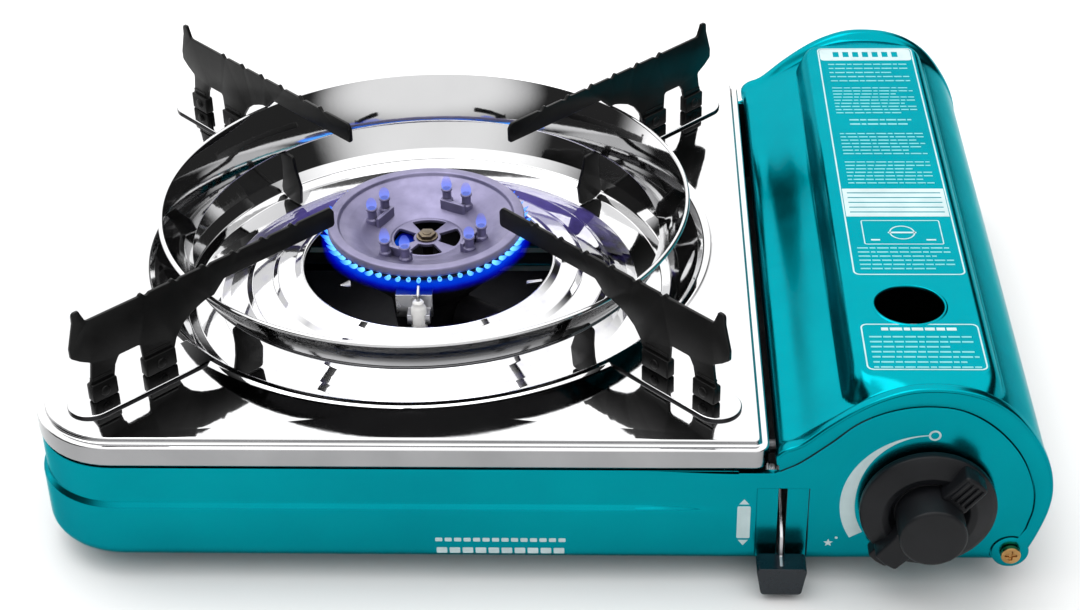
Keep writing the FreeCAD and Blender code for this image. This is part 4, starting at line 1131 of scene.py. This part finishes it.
def darken_inside(piece):
    """Paints shade on the faces that look into the case: a near-black finish."""
    middle = case_at(164, 128, 0)
    under_floor, over_floor = case_at(0, 0, -46.2).z, case_at(0, 0, -44).z

    def looks_in(centre, normal):
        inward = (middle.x - centre.x) * normal.x + (middle.y - centre.y) * normal.y
        wall = inward > 0 and abs(normal.z) < 0.9
        return centre.z > under_floor and (wall or normal.z > 0.9 and centre.z < over_floor)

    second_finish(piece, INSIDE_SHADE, looks_in)


# the burner's bowl, port ring, bracket, mixing tube and injector take a near-black finish
for near_black_node in ("burner_bowl", "burner_port_ring", "burner_bracket", "mixing_tube", "injector"):
    FINE[near_black_node].data.materials[0] = NEAR_BLACK_METAL
darken_inside(FINE["lower_case"])
shoulder_fairing()


# -------- floor, light, camera

floor_mesh = bmesh.new()
bmesh.ops.create_grid(floor_mesh, x_segments=8, y_segments=8, size=6.0)
floor = mesh_object("floor", floor_mesh)
floor.data.materials.append(material("floor_pale", (0.73,) * 3, (0.75,) * 3, 0.0, 0.6,
                                     spread=0.05, mottle=3, grain=60, bump=0.01, specular=0.2))


def area_light(name, place, size, power):
    """A rectangular light that looks at the frame's origin."""
    data = bpy.data.lights.new(name, "AREA")
    data.shape = "RECTANGLE"
    data.size, data.size_y = size
    data.energy = power
    light = scene_object(name, data)
    light.location = place
    light.rotation_mode = "QUATERNION"
    light.rotation_quaternion = (-Vector(place)).to_track_quat("-Z", "Y")


area_light("key", (-0.35, 0.25, 1.5), (1.3, 1.0), 8)

DIM, DOME, PATCH = 0.03, 1.95, 1.3
PATCH_TOWARDS, PATCH_NARROWED = Vector((0.02, -0.90, 0.42)).normalized(), (0.45, 1, 1)


def studio_world():
    """A dim room with a bright dome overhead, a bright wall at the rear left and a soft patch in front."""
    world = bpy.data.worlds.new("studio")
    bpy.context.scene.world = world
    world.use_nodes = True
    tree = world.node_tree
    background = tree.nodes["Background"]
    background.inputs["Color"].default_value = (1, 1, 1, 1)
    place = shader_node(tree, "ShaderNodeTexCoord").outputs["Generated"]
    parts = shader_node(tree, "ShaderNodeSeparateXYZ", links={"Vector": place}).outputs

    def maths(operation, first, second):
        return shader_node(tree, "ShaderNodeMath", None, {0: first, 1: second}, operation).outputs["Value"]

    overhead = ranged(tree, parts["Z"], 0.50, 0.74, DIM, DOME)
    left_of = ranged(tree, parts["X"], 0.28, 0.44, 1.0, 0.0)
    rear_wall = maths("MULTIPLY", ranged(tree, parts["Y"], 0.0, 0.42, DIM, DOME), left_of)
    narrowed = shader_node(tree, "ShaderNodeVectorMath", {1: PATCH_NARROWED}, {0: place}, "MULTIPLY")
    unit = shader_node(tree, "ShaderNodeVectorMath", None, {0: narrowed.outputs["Vector"]}, "NORMALIZE")
    towards = shader_node(tree, "ShaderNodeVectorMath", {1: PATCH_TOWARDS}, {0: unit.outputs["Vector"]},
                          "DOT_PRODUCT")
    ahead = ranged(tree, towards.outputs["Value"], 0.86, 0.985, DIM, PATCH)
    brightest = maths("MAXIMUM", maths("MAXIMUM", overhead, rear_wall), ahead)
    tree.links.new(brightest, background.inputs["Strength"])


studio_world()

CAMERA_PLACE = case_at(200.5, -553.3, 425.4)
PITCH, YAW, ROLL = (math.radians(a) for a in (33.474, 2.737, -1.425))
lens = bpy.data.cameras.new("camera")
lens.lens = 70.96
lens.sensor_width = 36.0
lens.shift_y = -0.0049
camera = scene_object("camera", lens)
forward = Vector((-math.sin(YAW) * math.cos(PITCH), math.cos(YAW) * math.cos(PITCH), -math.sin(PITCH)))
level = Vector((math.cos(YAW), math.sin(YAW), 0))
above = level.cross(forward)
right = level * math.cos(ROLL) + above * math.sin(ROLL)
up = above * math.cos(ROLL) - level * math.sin(ROLL)
turn = Matrix((right, up, -forward)).transposed()
camera.matrix_world = Matrix.Translation(CAMERA_PLACE) @ turn.to_4x4()
bpy.context.scene.camera = camera
bpy.context.scene.view_settings.view_transform = "Standard"

bpy.context.view_layer.update()
